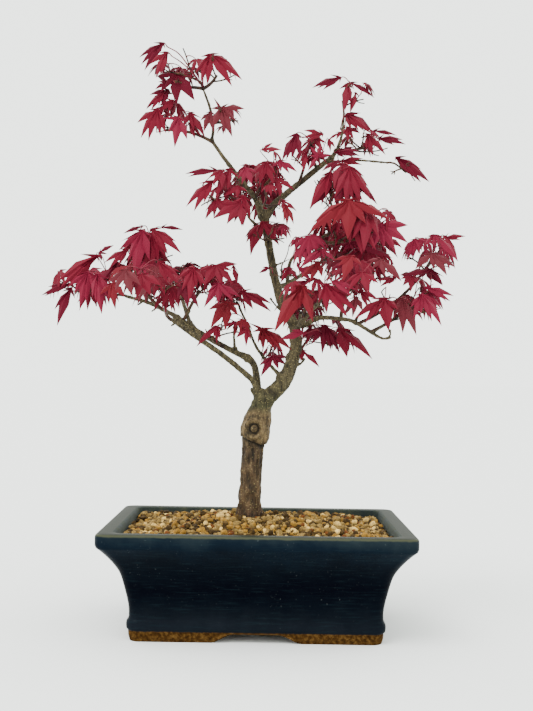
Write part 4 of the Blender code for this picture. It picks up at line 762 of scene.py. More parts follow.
def sideways(heading, turn):
    """A direction square to a heading, at an angle round it."""
    side = heading.cross(UP)
    if side.length < 0.1:
        side = heading.cross(Vector((1.0, 0.0, 0.0)))
    side.normalize()
    return side * math.cos(turn) + heading.cross(side).normalized() * math.sin(turn)


def clamp(value, low, high):
    return max(low, min(high, value))


def ease(value, low, high):
    t = clamp((value - low) / (high - low), 0.0, 1.0)
    return t * t * (3.0 - 2.0 * t)


def blend(ends, t):
    return ends[0] + (ends[1] - ends[0]) * t


# ---- materials ---------------------------------------------------------------------------------

def grained(tree, shader, spot, grain, dull, relief, shine):
    """Roughness and relief (strength, depth in millimetres) that follow a fine grain, and the shine."""
    fine = add(tree, "ShaderNodeTexNoise", {"Vector": spot, **grain})
    plug(tree, shader, {
        "Roughness": add(tree, "ShaderNodeMapRange", {"Value": fine}, span=(0.3, 0.7, *dull)),
        "Normal": add(tree, "ShaderNodeBump", {
            "Height": fine, "Strength": relief[0], "Distance": relief[1] * MM,
        }),
        "Specular IOR Level": shine,
    })


def mottled(name, patches, stops, grain, dull, relief, shine):
    """A surface in soft patches of three shades, with a finer grain."""
    made, tree, shader, spot = new_material(name)
    shade = add(tree, "ShaderNodeTexNoise", {"Vector": spot, **patches})
    plug(tree, shader, {"Base Color": add(tree, "ShaderNodeValToRGB", {"Fac": shade}, stops)})
    grained(tree, shader, spot, grain, dull, relief, shine)
    return made


def glazed_stoneware():
    """Stoneware dipped in a glossy blue-black glaze: it runs thick and nearly black on the wall, bluer
    green on the band, and thins to olive grey along the rim. The paler moulding above the foot is a painted
    reflection, and the band's top edge is partly a painted highlight. The foot is bare fired clay, brown and
    dry."""
    made, tree, shader, spot = new_material("glazed_stoneware_dipped")
    height = add(tree, "ShaderNodeSeparateXYZ", {"Vector": spot}).outputs["Z"]
    pools = add(tree, "ShaderNodeTexNoise", {
        "Vector": spot, "Scale": spacing(38), "Detail": 6.0, "Roughness": 0.62,
    })
    run = add(tree, "ShaderNodeMath", {0: pools, 1: 45 * MM, 2: height}, operation="MULTIPLY_ADD")
    depth = add(tree, "ShaderNodeMapRange", {"Value": run}, span=(20 * MM, 125 * MM))
    # the two lowest stops are a painted reflection that makes the moulding above the foot paler; the top stop
    # is partly the glaze's own colour on the band and partly a painted highlight along its top edge
    blue = add(tree, "ShaderNodeValToRGB", {"Fac": depth}, [
        (0.1, "#10141a"), (0.23, "#080c12"), (0.34, "#03060d"), (0.45, "#010208"), (0.64, "#04080f"),
        (0.80, "#08111a"), (0.95, "#1a2226"),
    ])
    brushed = add(tree, "ShaderNodeMapping", {"Vector": spot, "Scale": spacing(22, 22, 1.25)})
    drawn = add(tree, "ShaderNodeTexNoise", {
        "Vector": brushed, "Scale": 1.0, "Detail": 4.0, "Roughness": 0.6,
    })
    faint = add(tree, "ShaderNodeMapRange", {"Value": drawn}, span=(0.54, 0.74, 0.0, 0.3))
    dust = add(tree, "ShaderNodeTexNoise", {"Vector": spot, "Scale": spacing(1.6), "Detail": 2.0})
    drift = add(tree, "ShaderNodeTexNoise", {"Vector": spot, "Scale": spacing(62), "Detail": 3.0})
    dusty = add(tree, "ShaderNodeMapRange", {"Value": drift}, span=(0.48, 0.66, 0.1, 0.5))
    speck = add(tree, "ShaderNodeMapRange", {"Value": dust, 4: dusty}, span=(0.71, 0.75, 0.0))
    wobble = add(tree, "ShaderNodeTexNoise", {
        "Vector": spot, "Scale": spacing(9), "Detail": 4.0, "Roughness": 0.6,
    })
    uneven = add(tree, "ShaderNodeMath", {0: wobble, 1: 2.2 * MM, 2: height}, operation="MULTIPLY_ADD")
    rim = RIM_HEIGHT * MM
    thin = add(tree, "ShaderNodeMapRange", {"Value": uneven}, span=(rim - 1.0 * MM, rim + 0.1 * MM))
    flat = add(tree, "ShaderNodeMapRange", {"Value": height}, span=(rim - 0.15 * MM, rim - 0.03 * MM))
    foot = add(tree, "ShaderNodeMapRange", {"Value": uneven}, span=(10.2 * MM, 9.5 * MM))
    grit = add(tree, "ShaderNodeTexNoise", {
        "Vector": spot, "Scale": spacing(3), "Detail": 7.0, "Roughness": 0.72,
    })
    clay = add(tree, "ShaderNodeValToRGB", {"Fac": grit}, [
        (0.34, "#160c04"), (0.5, "#37230d"), (0.66, "#584020"),
    ])
    look = blue
    for share, coat in (
        (faint, colour("#16262b")), (speck, colour("#4b5252")), (thin, colour("#37392c")),
        (flat, colour("#20221a")), (foot, clay),
    ):
        look = add(tree, "ShaderNodeMix", {"Factor": share, "A": look, "B": coat}, data_type="RGBA")
    gloss = add(tree, "ShaderNodeMapRange", {"Value": pools}, span=(0.3, 0.75, 0.2, 0.36))
    dull = add(tree, "ShaderNodeMix", {"Factor": flat, "A": gloss, "B": 0.46})
    peel = add(tree, "ShaderNodeTexNoise", {
        "Vector": spot, "Scale": spacing(3.8), "Detail": 4.0, "Roughness": 0.55,
    })
    plug(tree, shader, {
        "Base Color": look,
        "Roughness": add(tree, "ShaderNodeMix", {"Factor": foot, "A": dull, "B": 0.82}),
        "Normal": add(tree, "ShaderNodeBump", {"Height": peel, "Strength": 0.35, "Distance": 0.5 * MM}),
        "IOR": 1.5,
        "Specular IOR Level": 0.015,
    })
    return made


def dusty_glaze():
    """The same glaze inside the rim, where a film of dust from the grit has taken its shine."""
    film = {"Scale": spacing(14), "Detail": 6.0, "Roughness": 0.65}
    shades = [(0.35, "#0e161a"), (0.52, "#20261f"), (0.68, "#343527")]
    return mottled(
        "glazed_stoneware_dusty", film, shades, film, dull=(0.6, 0.85), relief=(0.3, 0.4), shine=0.1,
    )


def stone(name, shades, patch):
    """Sifted grit of one colour: dry, matt and pitted, each grain a little lighter or darker."""
    patches = {"Scale": spacing(patch), "Detail": 5.0, "Roughness": 0.65}
    pits = {"Scale": spacing(0.6), "Detail": 4.0, "Roughness": 0.7}
    stops = list(zip((0.32, 0.52, 0.7), shades))
    return mottled(name, patches, stops, pits, dull=(0.78, 0.95), relief=(0.6, 0.4), shine=0.12)


def living_bark():
    """Maple bark on wood 2 to 27 mm thick: grey brown, drawn out in fine strands with pale pores, redder at
    the root, tan on the healed graft and greener on the young wood; painted shade makes it nearly black in
    its hollows."""
    made, tree, shader, spot = new_material("maple_bark_living")
    height = add(tree, "ShaderNodeSeparateXYZ", {"Vector": spot}).outputs["Z"]
    wander = add(tree, "ShaderNodeTexNoise", {
        "Vector": spot, "Scale": spacing(14), "Detail": 4.0, "Roughness": 0.6,
    })
    level = add(tree, "ShaderNodeMath", {0: wander, 1: 16 * MM, 2: height}, operation="MULTIPLY_ADD")
    place = add(tree, "ShaderNodeMapRange", {"Value": level}, span=(90 * MM, 300 * MM))
    zone = add(tree, "ShaderNodeValToRGB", {"Fac": place}, [
        (0.05, "#2b1a0f"), (0.12, "#4a3926"), (0.35, "#3f3122"), (0.39, "#57472f"),
        (0.48, "#594830"), (0.53, "#35331f"), (0.62, "#403926"), (1.0, "#453c2b"),
    ])
    long_way = add(tree, "ShaderNodeMapping", {"Vector": spot, "Scale": spacing(3, 3, 12.5)})
    strands = add(tree, "ShaderNodeTexNoise", {
        "Vector": long_way, "Scale": 1.0, "Detail": 7.0, "Roughness": 0.66,
    })
    light = add(tree, "ShaderNodeValToRGB", {"Fac": strands}, [
        (0.36, 0.10), (0.46, 0.40), (0.56, 0.60), (0.68, 1.0),
    ])
    pores_at = add(tree, "ShaderNodeMapping", {"Vector": spot, "Scale": spacing(2.4, 2.4, 1.6)})
    pores = add(tree, "ShaderNodeTexVoronoi", {"Vector": pores_at, "Scale": 1.0, "Randomness": 1.0})
    pore = add(tree, "ShaderNodeMapRange", {"Value": pores}, span=(0.28, 0.16, 0.0, 0.6))
    stains = add(tree, "ShaderNodeTexNoise", {
        "Vector": spot, "Scale": spacing(9.5), "Detail": 5.0, "Roughness": 0.72,
    })
    stain = add(tree, "ShaderNodeMapRange", {"Value": stains}, span=(0.53, 0.66, 0.0, 0.75))
    painted_hollow_shade = add(tree, "ShaderNodeAttribute", {}, attribute_name="painted_hollow_shade").outputs["Fac"]
    look = add(tree, "ShaderNodeMix", {
        "Factor": 0.95, "A": zone, "B": light,
    }, data_type="RGBA", blend_type="OVERLAY")
    # the last layer is painted shade: the bark's hollows darkened by an amount stored on each point of the
    # mesh
    for share, shade in ((pore, "#85784f"), (stain, "#1d1810"), (painted_hollow_shade, "#0d0a07")):
        look = add(tree, "ShaderNodeMix", {"Factor": share, "A": look, "B": colour(shade)}, data_type="RGBA")
    fine = add(tree, "ShaderNodeTexNoise", {
        "Vector": spot, "Scale": spacing(1.1), "Detail": 5.0, "Roughness": 0.65,
    })
    rough = add(tree, "ShaderNodeMath", {0: strands, 1: 1.8, 2: fine}, operation="MULTIPLY_ADD")
    plug(tree, shader, {
        "Base Color": look,
        "Roughness": add(tree, "ShaderNodeMapRange", {"Value": fine}, span=(0.3, 0.7, 0.7, 0.95)),
        "Normal": add(tree, "ShaderNodeBump", {"Height": rough, "Strength": 0.8, "Distance": 0.9 * MM}),
        "Specular IOR Level": 0.2,
    })
    return made


def young_shoot(name, shades, roughness):
    """The thin skin of this year's and last year's shoots, faintly glossy and uneven in colour."""
    patches = {"Scale": spacing(6.2), "Detail": 4.0}
    grain = {"Scale": spacing(1.1), "Detail": 3.0}
    stops = list(zip((0.35, 0.5, 0.68), shades))
    dull = (roughness - 0.08, roughness + 0.1)
    return mottled(name, patches, stops, grain, dull, relief=(0.3, 0.3), shine=0.12)


def leaf_tissue(tint):
    """A soft maple leaf of one tint, satin on top; its sheen breaks up finely where the blade ripples."""
    made, tree, shader, spot = new_material("leaf_" + tint)
    plug(tree, shader, {"Base Color": colour(TINTS[tint])})
    ripple = {"Scale": spacing(2.4), "Detail": 3.0}
    grained(tree, shader, spot, ripple, dull=(0.46, 0.62), relief=(0.25, 0.4), shine=0.05)
    return made


# ---- pot ---------------------------------------------------------------------------------------

def stepped(profile, step):
    """A profile's (height, inset) knots with finer ones between them on a smooth curve."""
    curve = smooth([(inset, 0.0, height, 0.0) for height, inset in profile], step)
    return [(point.z, point.x) for point in curve]


def arch_bar(flat, spread, reach, along_x):
    """A bar with the outline of the foot's arch, level in the middle, which cuts through the whole foot."""
    shape = bmesh.new()
    steps = 14
    outline = [(-spread, -1.0)]
    for i in range(steps + 1):
        t = i / steps
        outline.append((-spread + (spread - flat) * t, ARCH_HEIGHT * (0.5 - 0.5 * math.cos(math.pi * t))))
    outline += [(-x, z) for x, z in reversed(outline)]
    face = shape.faces.new([shape.verts.new((x, -reach, z)) for x, z in outline])
    made = bmesh.ops.extrude_face_region(shape, geom=[face])["geom"]
    fresh = [part for part in made if isinstance(part, bmesh.types.BMVert)]
    bmesh.ops.translate(shape, verts=fresh, vec=(0.0, 2 * reach, 0.0))
    if along_x:
        bmesh.ops.rotate(shape, verts=shape.verts, matrix=Matrix.Rotation(math.pi / 2, 3, "Z"))
    return closed(shape)


def under_foot():
    """The block that hollows the foot from below, with rounded corners."""
    shape = bmesh.new()
    bmesh.ops.create_cube(shape, size=1.0)
    wide = [2 * (half - WALL_PROFILE[0][1] - FOOT_WALL) for half in POT_HALF]
    bmesh.ops.scale(shape, verts=shape.verts, vec=(*wide, FOOT_RECESS + 1.0))
    bmesh.ops.translate(shape, verts=shape.verts, vec=(0.0, 0.0, (FOOT_RECESS - 1.0) / 2))
    upright = [edge for edge in shape.edges if abs(edge.verts[0].co.z - edge.verts[1].co.z) > 1.0]
    bmesh.ops.bevel(
        shape, geom=upright, offset=RECESS_CORNER, segments=4, profile=0.5, affect="EDGES", material=-1,
    )
    return mesh_of(shape)


def build_pot():
    """One wall drawn up from the foot, over the rim and down inside, then cut out from below."""
    shape = bmesh.new()
    foot, flare, band = WALL_PROFILE[:3], WALL_PROFILE[3:14], WALL_PROFILE[14:]
    wall = stepped(foot, 2.0) + stepped(flare, 1.8) + band
    height, inset = wall[0]
    wide, deep = (half - inset for half in POT_HALF)
    corners = [
        shape.verts.new((side_x * wide, side_y * deep, height))
        for side_x, side_y in ((1, 1), (-1, 1), (-1, -1), (1, -1))
    ]
    shape.faces.new(corners)
    bmesh.ops.bevel(
        shape, geom=corners, offset=POT_CORNER, offset_type="OFFSET", segments=9, profile=0.5,
        affect="VERTICES", material=-1,
    )
    edges = list(shape.edges)
    for next_height, next_inset in wall[1:] + CAVITY_PROFILE:
        grow, rise = inset - next_inset, next_height - height

        def move(vert, grow=grow, rise=rise):
            side = Vector([math.copysign(1.0, value) for value in vert.co.xy])
            vert.co += Vector((*(side * grow), rise))

        edges = pull(shape, edges, move)
        height, inset = next_height, next_inset
    mesh = closed(shape, edges)
    cutters = [in_scene("cutter", cutter) for cutter in (
        under_foot(),
        arch_bar(*FRONT_ARCH, reach=120.0, along_x=False),
        arch_bar(*SIDE_ARCH, reach=150.0, along_x=True),
    )]
    mesh = applied(mesh, *(
        ("BOOLEAN", {"operation": "DIFFERENCE", "solver": "EXACT", "object": cutter}) for cutter in cutters
    ))
    for cutter in cutters:
        bpy.data.objects.remove(cutter, do_unlink=True)
    inner = [  # the faces above the gravel that look back at the pot's middle
        face.center.z > RIM_HEIGHT / 2
        and min(face.normal.x * face.center.x, face.normal.y * face.center.y) < -10.0
        for face in mesh.polygons
    ]
    mesh.transform(Matrix.Translation((POT_MIDDLE, 0.0, 0.0)))
    pot = finish_piece("pot_glazed", mesh, [glazed_stoneware(), dusty_glaze()], ["pot"], sharp=38)
    pot.data.polygons.foreach_set("material_index", inner)


# ---- gravel ------------------------------------------------------------------------------------

def soil_height(share):
    """Height of the gravel's surface, by the share of the way from the trunk to the wall."""
    edge = RIM_HEIGHT - SOIL_EDGE_DROP
    t = clamp((share - MOUND_FLAT) / (1.0 - MOUND_FLAT), 0.0, 1.0)
    return edge + (SOIL_TOP - edge) * (0.5 + 0.5 * math.cos(math.pi * t))


def build_bed():
    """The packed soil under the grains, a block with a lumpy top."""
    shape = bmesh.new()
    bmesh.ops.create_grid(shape, x_segments=56, y_segments=42, size=1.0)
    for vert in shape.verts:
        share = max(abs(vert.co.x), abs(vert.co.y))
        x, y = vert.co.x * (POT_HALF[0] - BED_INSET), vert.co.y * (POT_HALF[1] - BED_INSET)
        lump = noise.noise(Vector((x, y, 3.0)) / BED_LUMPS[0]) * BED_LUMPS[1]
        vert.co = Vector((x, y, soil_height(share) - BED_DEPTH + lump))

    def sink(vert):
        vert.co = Vector((vert.co.x * BED_TAPER, vert.co.y * BED_TAPER, BED_FLOOR))

    mesh = closed(shape, pull(shape, [edge for edge in shape.edges if edge.is_boundary], sink))
    mesh.transform(Matrix.Translation((POT_MIDDLE, 0.0, 0.0)))
    dust = stone("akadama_dust_packed", ("#1c1309", "#2e2010", "#46341b"), patch=3.3)
    finish_piece("soil_bed", mesh, [dust], ["soil"], sharp=60)


def grain_shapes():
    """Lumps of grit, each a cube with its sides split once, rounded and knocked out of true."""
    rng = random.Random(GRAIN_SEED)
    shapes = []
    for _ in range(GRAIN_KINDS):
        shape = bmesh.new()
        bmesh.ops.create_cube(shape, size=1.0)
        bmesh.ops.subdivide_edges(shape, edges=shape.edges, cuts=1, smooth=1.0, use_grid_fill=True)
        for vert in shape.verts:
            vert.co *= rng.uniform(*GRAIN_LUMPS) * 0.5 / max(0.3, vert.co.length)
        shapes.append(arrays_of(shape))
    return shapes


def build_gravel():
    """Grains in staggered rows, a full layer and a loose one, thrown about and dealt their kinds."""
    rng = random.Random(GRAVEL_SEED)
    shapes = grain_shapes()
    wide, deep = (half - GRAVEL_INSET for half in POT_HALF)
    foot_x, foot_y = TRUNK_SECTIONS[0][:2]
    copies = {kind: [] for kind in GRAINS}
    odds = [share for share, _ in GRAINS.values()]
    places = [
        (-wide + (column + 0.5 * (row % 2)) * GRAIN_PITCH, -deep + row * ROW_PITCH)
        for row in range(int(2 * deep / ROW_PITCH) + 1)
        for column in range(int(2 * wide / GRAIN_PITCH) + 1)
    ]
    for keep, lift in GRAIN_LAYERS:
        for column_x, row_y in places:
            x = column_x + rng.uniform(-GRAIN_STRAY, GRAIN_STRAY)
            y = row_y + rng.uniform(-GRAIN_STRAY, GRAIN_STRAY)
            size = rng.choice(GRAIN_SIZES) * rng.uniform(*GRAIN_SPREAD)
            kind = rng.choices(list(GRAINS), odds)[0]
            if kind == "grit_white":
                size *= WHITE_GROWTH
            angle = rng.uniform(0, math.tau)
            turn = Matrix.Rotation(angle, 3, Vector([rng.gauss(0, 1) for _ in range(3)]))
            points, faces = rng.choice(shapes)
            squash = [rng.uniform(*span) for span in GRAIN_SQUASH]
            left_out = rng.random() > keep
            outside = max(abs(x) / (wide - size / 2), abs(y) / (deep - size / 2)) > 1.0
            if left_out or outside or math.hypot(x + POT_MIDDLE - foot_x, y - foot_y) < TRUNK_CLEARANCE:
                continue
            share = max(abs(x) / wide, abs(y) / deep)
            z = soil_height(share) - GRAVEL_SUNK + lift * size + rng.uniform(-GRAIN_TOSS, GRAIN_TOSS)
            spot = np.array((x + POT_MIDDLE, y, z))
            copies[kind].append(((points * squash * size) @ np.array(turn).T + spot, faces))
    for kind, (_, shades) in GRAINS.items():
        finish_piece(kind, joined(copies[kind]), [stone(kind + "_sifted", shades, patch=4.3)])


# ---- bark --------------------------------------------------------------------------------------

def trunk_mesh():
    """The trunk and its graft: a ring of points drawn up from the root flare to the crotch."""
    shape = bmesh.new()
    turn = shape.verts.layers.float.new("turn")
    bmesh.ops.create_circle(shape, segments=TRUNK_SIDES, radius=1.0, cap_ends=True)
    for vert in shape.verts:
        vert[turn] = math.atan2(vert.co.y, vert.co.x)
    base = TRUNK_SECTIONS[1][2]

    def place(vert, ring):
        x, y, z, half_x, half_y = ring
        spread = clamp(1.0 - (z - base) / ROOT_HEIGHT, 0.0, 1.3) * ROOT_DEPTH
        spread *= math.cos(ROOT_LOBES * vert[turn] + ROOT_TURN)
        lean = FORK_TILT * clamp((z - LEAN_FROM) / (FORK_SPOT.z - LEAN_FROM), 0.0, 1.0)
        out = (half_x + spread) * math.cos(vert[turn])
        vert.co = Vector((
            x + out * math.cos(lean), y + (half_y + spread) * math.sin(vert[turn]), z - out * math.sin(lean),
        ))

    rings = smooth(TRUNK_SECTIONS, TRUNK_STEP)
    for vert in shape.verts:
        place(vert, rings[0])
    edges = list(shape.edges)
    for ring in rings[1:]:
        edges = pull(shape, edges, lambda vert, ring=ring: place(vert, ring))
    return closed(shape, edges)


def rooted(bough, paths):
    """A limb's knots with its foot sunk into what carries it, thicker there as a collar."""
    knots = bough.knots
    first, second = Vector(knots[0]), Vector(knots[1])
    if bough.carrier == "trunk":
        foot = first.xyz - FORK_FACE * ((first.xyz - FORK_SPOT).dot(FORK_FACE) + FORK_SINK)
        foot = foot.lerp(Vector((*FORK_HEART, foot.z)), FORK_DRAW)
        return [(*foot, first.w * FORK_COLLAR[0]), (*first.xyz, first.w * FORK_COLLAR[1])] + knots[1:]
    limb = paths[bough.carrier]
    rest = along(limb, bough.share)
    spot = rest[0].xyz
    if bough.share == 1.0:
        face = (limb[-1].xyz - limb[-2].xyz).normalized()
        return [(*(spot - face * TIP_SINK), rest[0].w * 0.8)] + knots
    axis = (rest[1].xyz - spot).normalized()
    way = second.xyz - first.xyz
    face = (way - axis * way.dot(axis)).normalized()
    skin = spot + (face + axis * 0.35).normalized() * rest[0].w
    foot = spot - axis * SIDE_SINK
    return [(*foot, first.w * SIDE_COLLAR[0]), (*skin, first.w * SIDE_COLLAR[1])] + knots[1:]


def swell(off, radius, width):
    """One at a radius, falling away to nothing on both sides of it."""
    return math.exp(-(((off - radius) / width) ** 2))


def trunk_move(spot, out, painted_shade):
    """Adds what the trunk alone has: furrows on the stock, the graft's lip over them, a scar in front, and
    painted shade in the furrows, in the crease under the lip and in the scar's groove.
    """
    trunk = ease(spot.z, *OLD_BARK)
    wide, long = FURROW_SIZE
    furrow = abs(noise.noise(Vector((spot.x / wide + 7.0, spot.y / wide, spot.z / long))))
    furrows = (0.6 - 2.2 * furrow) * ease(spot.z, *FURROWS)
    out += trunk * (furrows + 0.7 * noise.noise(spot / 5.0))
    # painted shade in the deep furrows
    painted_shade = max(painted_shade, trunk * ease(-furrows, 0.15, 0.8) * 0.6)
    lip = GRAFT_LIP - GRAFT_SLOPE * (spot.x - 1.0) + 4.0 * ease(spot.x, 4.0, 11.0)
    above = spot.z - (lip + GRAFT_BACK if spot.y > 0.0 else lip)
    under = ease(above, -5.0, -0.9) * ease(above, 0.5, -0.4)
    out += 1.5 * ease(above, -0.7, 0.9) * ease(above, 13.0, 4.0) - 1.2 * under
    # painted shade in the crease under the graft's lip
    painted_shade = max(painted_shade, 0.9 * under)
    if spot.y < SCAR_FRONT:
        off = math.hypot(spot.x - SCAR.x, spot.z - SCAR.z)
        groove = swell(off, *SCAR_GROOVE)
        out += 2.4 * math.exp(-((off / SCAR_STUB) ** 4)) - 2.0 * groove + 1.3 * swell(off, *SCAR_RING)
        # painted shade in the scar's groove
        painted_shade = max(painted_shade, 0.95 * groove)
    return out, painted_shade


def bark_move(spot):
    """How far the bark stands out at a point of the smooth wood, and how much painted shade darkens its
    hollows there.
    """
    wide, long = STRAND_SIZE
    out = 0.34 * noise.noise(Vector((spot.x / wide, spot.y / wide, spot.z / long)))
    out += 0.18 * noise.noise(spot / PORE_SIZE)
    # painted shade: the further the relief sinks in, the darker the bark is painted
    painted_shade = ease(-out, 0.06, 0.3) * 0.5
    return trunk_move(spot, out, painted_shade) if spot.z < OLD_BARK[0] else (out, painted_shade)


def build_bark():
    """Trunk, limbs, knobs and spurs melted into one skin, which the bark's relief then moves."""
    paths, runs = {}, []
    for bough in BOUGHS:
        paths[bough.name] = smooth(bough.knots, BOUGH_STEP)
        runs.append(smooth(rooted(bough, paths), LIMB_STEP))
    runs += [smooth(spur, SPUR_STEP) for spur in SPURS]
    shape = bmesh.new()
    shape.from_mesh(trunk_mesh())
    shape.from_mesh(tubes(runs, 4))
    for *middle, radius in KNOBS:
        bmesh.ops.create_icosphere(shape, subdivisions=3, radius=radius, matrix=Matrix.Translation(middle))
    mesh = applied(mesh_of(shape), ("REMESH", {"mode": "VOXEL", "voxel_size": BARK_VOXEL, "adaptivity": 0.0}))
    shape = bmesh.new()
    shape.from_mesh(mesh)
    every_way = {"use_axis_x": True, "use_axis_y": True, "use_axis_z": True}
    for _ in range(3):
        bmesh.ops.smooth_vert(shape, verts=shape.verts, factor=0.5, **every_way)
    shape.normal_update()
    # each point keeps the painted shade of its hollows, which the bark material darkens by
    painted_hollow_shade = shape.verts.layers.float.new("painted_hollow_shade")
    moves = [bark_move(vert.co) for vert in shape.verts]
    for vert, (out, painted_shade) in zip(shape.verts, moves):
        vert.co += vert.normal * out
        vert[painted_hollow_shade] = painted_shade
    finish_piece("bark", mesh_of(shape), [living_bark()], WOOD)
    return paths


# ---- twigs, stalks and leaves ------------------------------------------------------------------

def node_tree(name):
    """A solid's surface, in millimetres, for tests of what meets it."""
    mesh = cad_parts[name].data
    back = INTO_FRAME.inverted()
    points = [back @ vert.co for vert in mesh.vertices]
    return BVHTree.FromPolygons(points, [tuple(face.vertices) for face in mesh.polygons])


def bowed(start, end, radii, rng, bow=0.08, parts=6):
    """A gently bowed twig between two points."""
    length = (end - start).length
    lift = sideways((end - start).normalized(), rng.uniform(0.0, math.tau)) * bow * length
    points = []
    for i in range(parts + 1):
        t = i / parts
        points.append(Vector((*(start.lerp(end, t) + lift * 4.0 * t * (1.0 - t)), blend(radii, t))))
    return points


def blocked(points, trees):
    """Whether a run of points passes through a limb."""
    for a, b in zip(points, points[1:]):
        way = b.xyz - a.xyz
        if any(tree.ray_cast(a.xyz, way.normalized(), way.length)[0] is not None for tree in trees):
            return True
    return False


def meets(points, faces, trees):
    """Whether a leaf cuts a limb."""
    blade = BVHTree.FromPolygons([Vector(spot) for spot in points], faces)
    return any(blade.overlap(tree) for tree in trees)


def in_gap(points):
    """Whether a leaf or twig would close a gap in the crown that lets the sky through from in front."""
    for spot in points:
        near = EYE[1] / (EYE[1] - spot[1])
        x, z = EYE[0] + (spot[0] - EYE[0]) * near, EYE[2] + (spot[2] - EYE[2]) * near
        kept_clear = OPEN_SKY + BARE_LIMBS if spot[1] < 0.0 else OPEN_SKY
        if any(math.hypot(x - gap_x, z - gap_z) < radius for gap_x, gap_z, radius in kept_clear):
            return True
    return False


def in_space(point, mass, margin):
    return sum(((point[i] - mass.middle[i]) / mass.half[i]) ** 2 for i in range(3)) <= margin * margin


def grow_stem(mass, paths, trees, rng):
    """The mass's one stem, from its limb to just under the middle of its space."""
    limb = paths[mass.limb]
    root = along(limb, mass.share)[0].xyz
    heart = Vector(mass.middle) - Vector((0.0, 0.0, HEART_DROP * mass.half[2]))
    for attempt in range(TWIG_TRIES):
        aim = heart + Vector([rng.uniform(-0.3, 0.3) * h * min(1.0, attempt / 6) for h in mass.half])
        if mass.share == 1.0:
            heading = (limb[-1].xyz - limb[-2].xyz).normalized()
            radius = limb[-1].w
            points = smooth([
                (*(root - heading * 2.0), radius),
                (*(root + heading * 5.0), radius * 0.95),
                (*aim, STEM_RADII[1]),
            ], STEM_STEP)
        else:
            points = bowed(root, aim, STEM_RADII, rng, parts=8)
        if not blocked(points[2:], trees) and not in_gap(points):
            break
    return points


def grow_twigs(mass, stem, trees, rng):
    """Twigs from the stem to ends that are spread evenly through the mass's space."""
    count = max(3, round(mass.leaves * LEAF_FACTOR / LEAVES_PER_TWIG))
    twigs = []
    for i in range(count):
        for _ in range(TWIG_TRIES):
            height = -TWIG_LEVELS + 2.0 * TWIG_LEVELS * (i + 0.5) / count + rng.uniform(-0.12, 0.12)
            turn = GOLDEN_ANGLE * i + rng.uniform(-0.4, 0.4)
            spread = TWIG_SPREAD * math.sqrt(1.0 - height * height)
            ways = (spread * math.cos(turn), spread * math.sin(turn), height)
            end = Vector(mass.middle) + Vector([half * way for half, way in zip(mass.half, ways)])
            fork = along(stem, rng.uniform(*TWIG_FORKS))[0]
            twig = bowed(fork.xyz, end, (min(fork.w, TWIG_RADII[0]), TWIG_RADII[1]), rng)
            if not blocked(twig, trees) and not in_gap(twig):
                twigs.append(twig)
                break
    return twigs


def grow_fine(twigs, trees, rng):
    """Two finer twigs forking off each twig, in a pair, as buds stand, or nothing where one doesn't fit."""
    fine = []
    for twig in twigs:
        length = sum((b.xyz - a.xyz).length for a, b in zip(twig, twig[1:]))
        fork = along(twig, rng.uniform(*FINE_FORKS))[0].xyz
        heading = (twig[-1].xyz - fork).normalized()
        lean = sideways(heading, rng.uniform(0.0, math.tau))
        for side in (lean, -lean):
            way = (heading + side * rng.uniform(*FINE_SPLAY) + UP * 0.15).normalized()
            end = fork + way * length * rng.uniform(*FINE_LENGTHS)
            shoot = bowed(fork, end, FINE_RADII, rng, parts=4)
            fine.append(None if blocked(shoot, trees) or in_gap(shoot) else shoot)
    return fine


def buds_of(stem, twigs, fine):
    """The spots that can carry a stalk, each with the number of its spray."""
    buds = [(along(twig, share)[0].xyz, spray) for spray, twig in enumerate(twigs) for share in TWIG_BUDS]
    for number, shoot in enumerate(fine):
        if shoot:
            buds += [(along(shoot, share)[0].xyz, number // 2) for share in FINE_BUDS]
    return buds + [(along(stem, share)[0].xyz, 0) for share in STEM_BUDS]


def arch(foot, hub, forward, rng):
    """A leaf stalk: it rises from its bud, arches over and runs into the leaf's back."""
    span = (hub - foot).length
    rise = ((hub - foot).normalized() + UP * rng.uniform(*STALK_RISES)).normalized()
    first = foot + rise * span * 0.45
    last = hub - (forward + DOWN * 0.2).normalized() * span * 0.35
    points = []
    for i in range(8):
        t = i / 7
        s = 1.0 - t
        spot = foot * s ** 3 + first * 3 * s * s * t + last * 3 * s * t * t + hub * t ** 3
        points.append(Vector((*spot, blend(STALK_RADII, t))))
    points[0].w = STALK_RADII[0] * 1.6
    return points


def leaf_shapes():
    """Leaves with seven lobes, no two alike."""
    rng = random.Random(SHAPE_SEED)
    shapes = []
    for _ in range(LEAF_KINDS):
        slim = rng.uniform(0.85, 1.12)
        shapes.append(leaf_shape([
            (math.radians(angle + rng.uniform(-4, 4)), length * rng.uniform(0.93, 1.05), wide * slim)
            for angle, length, wide in LOBES
        ]))
    return shapes


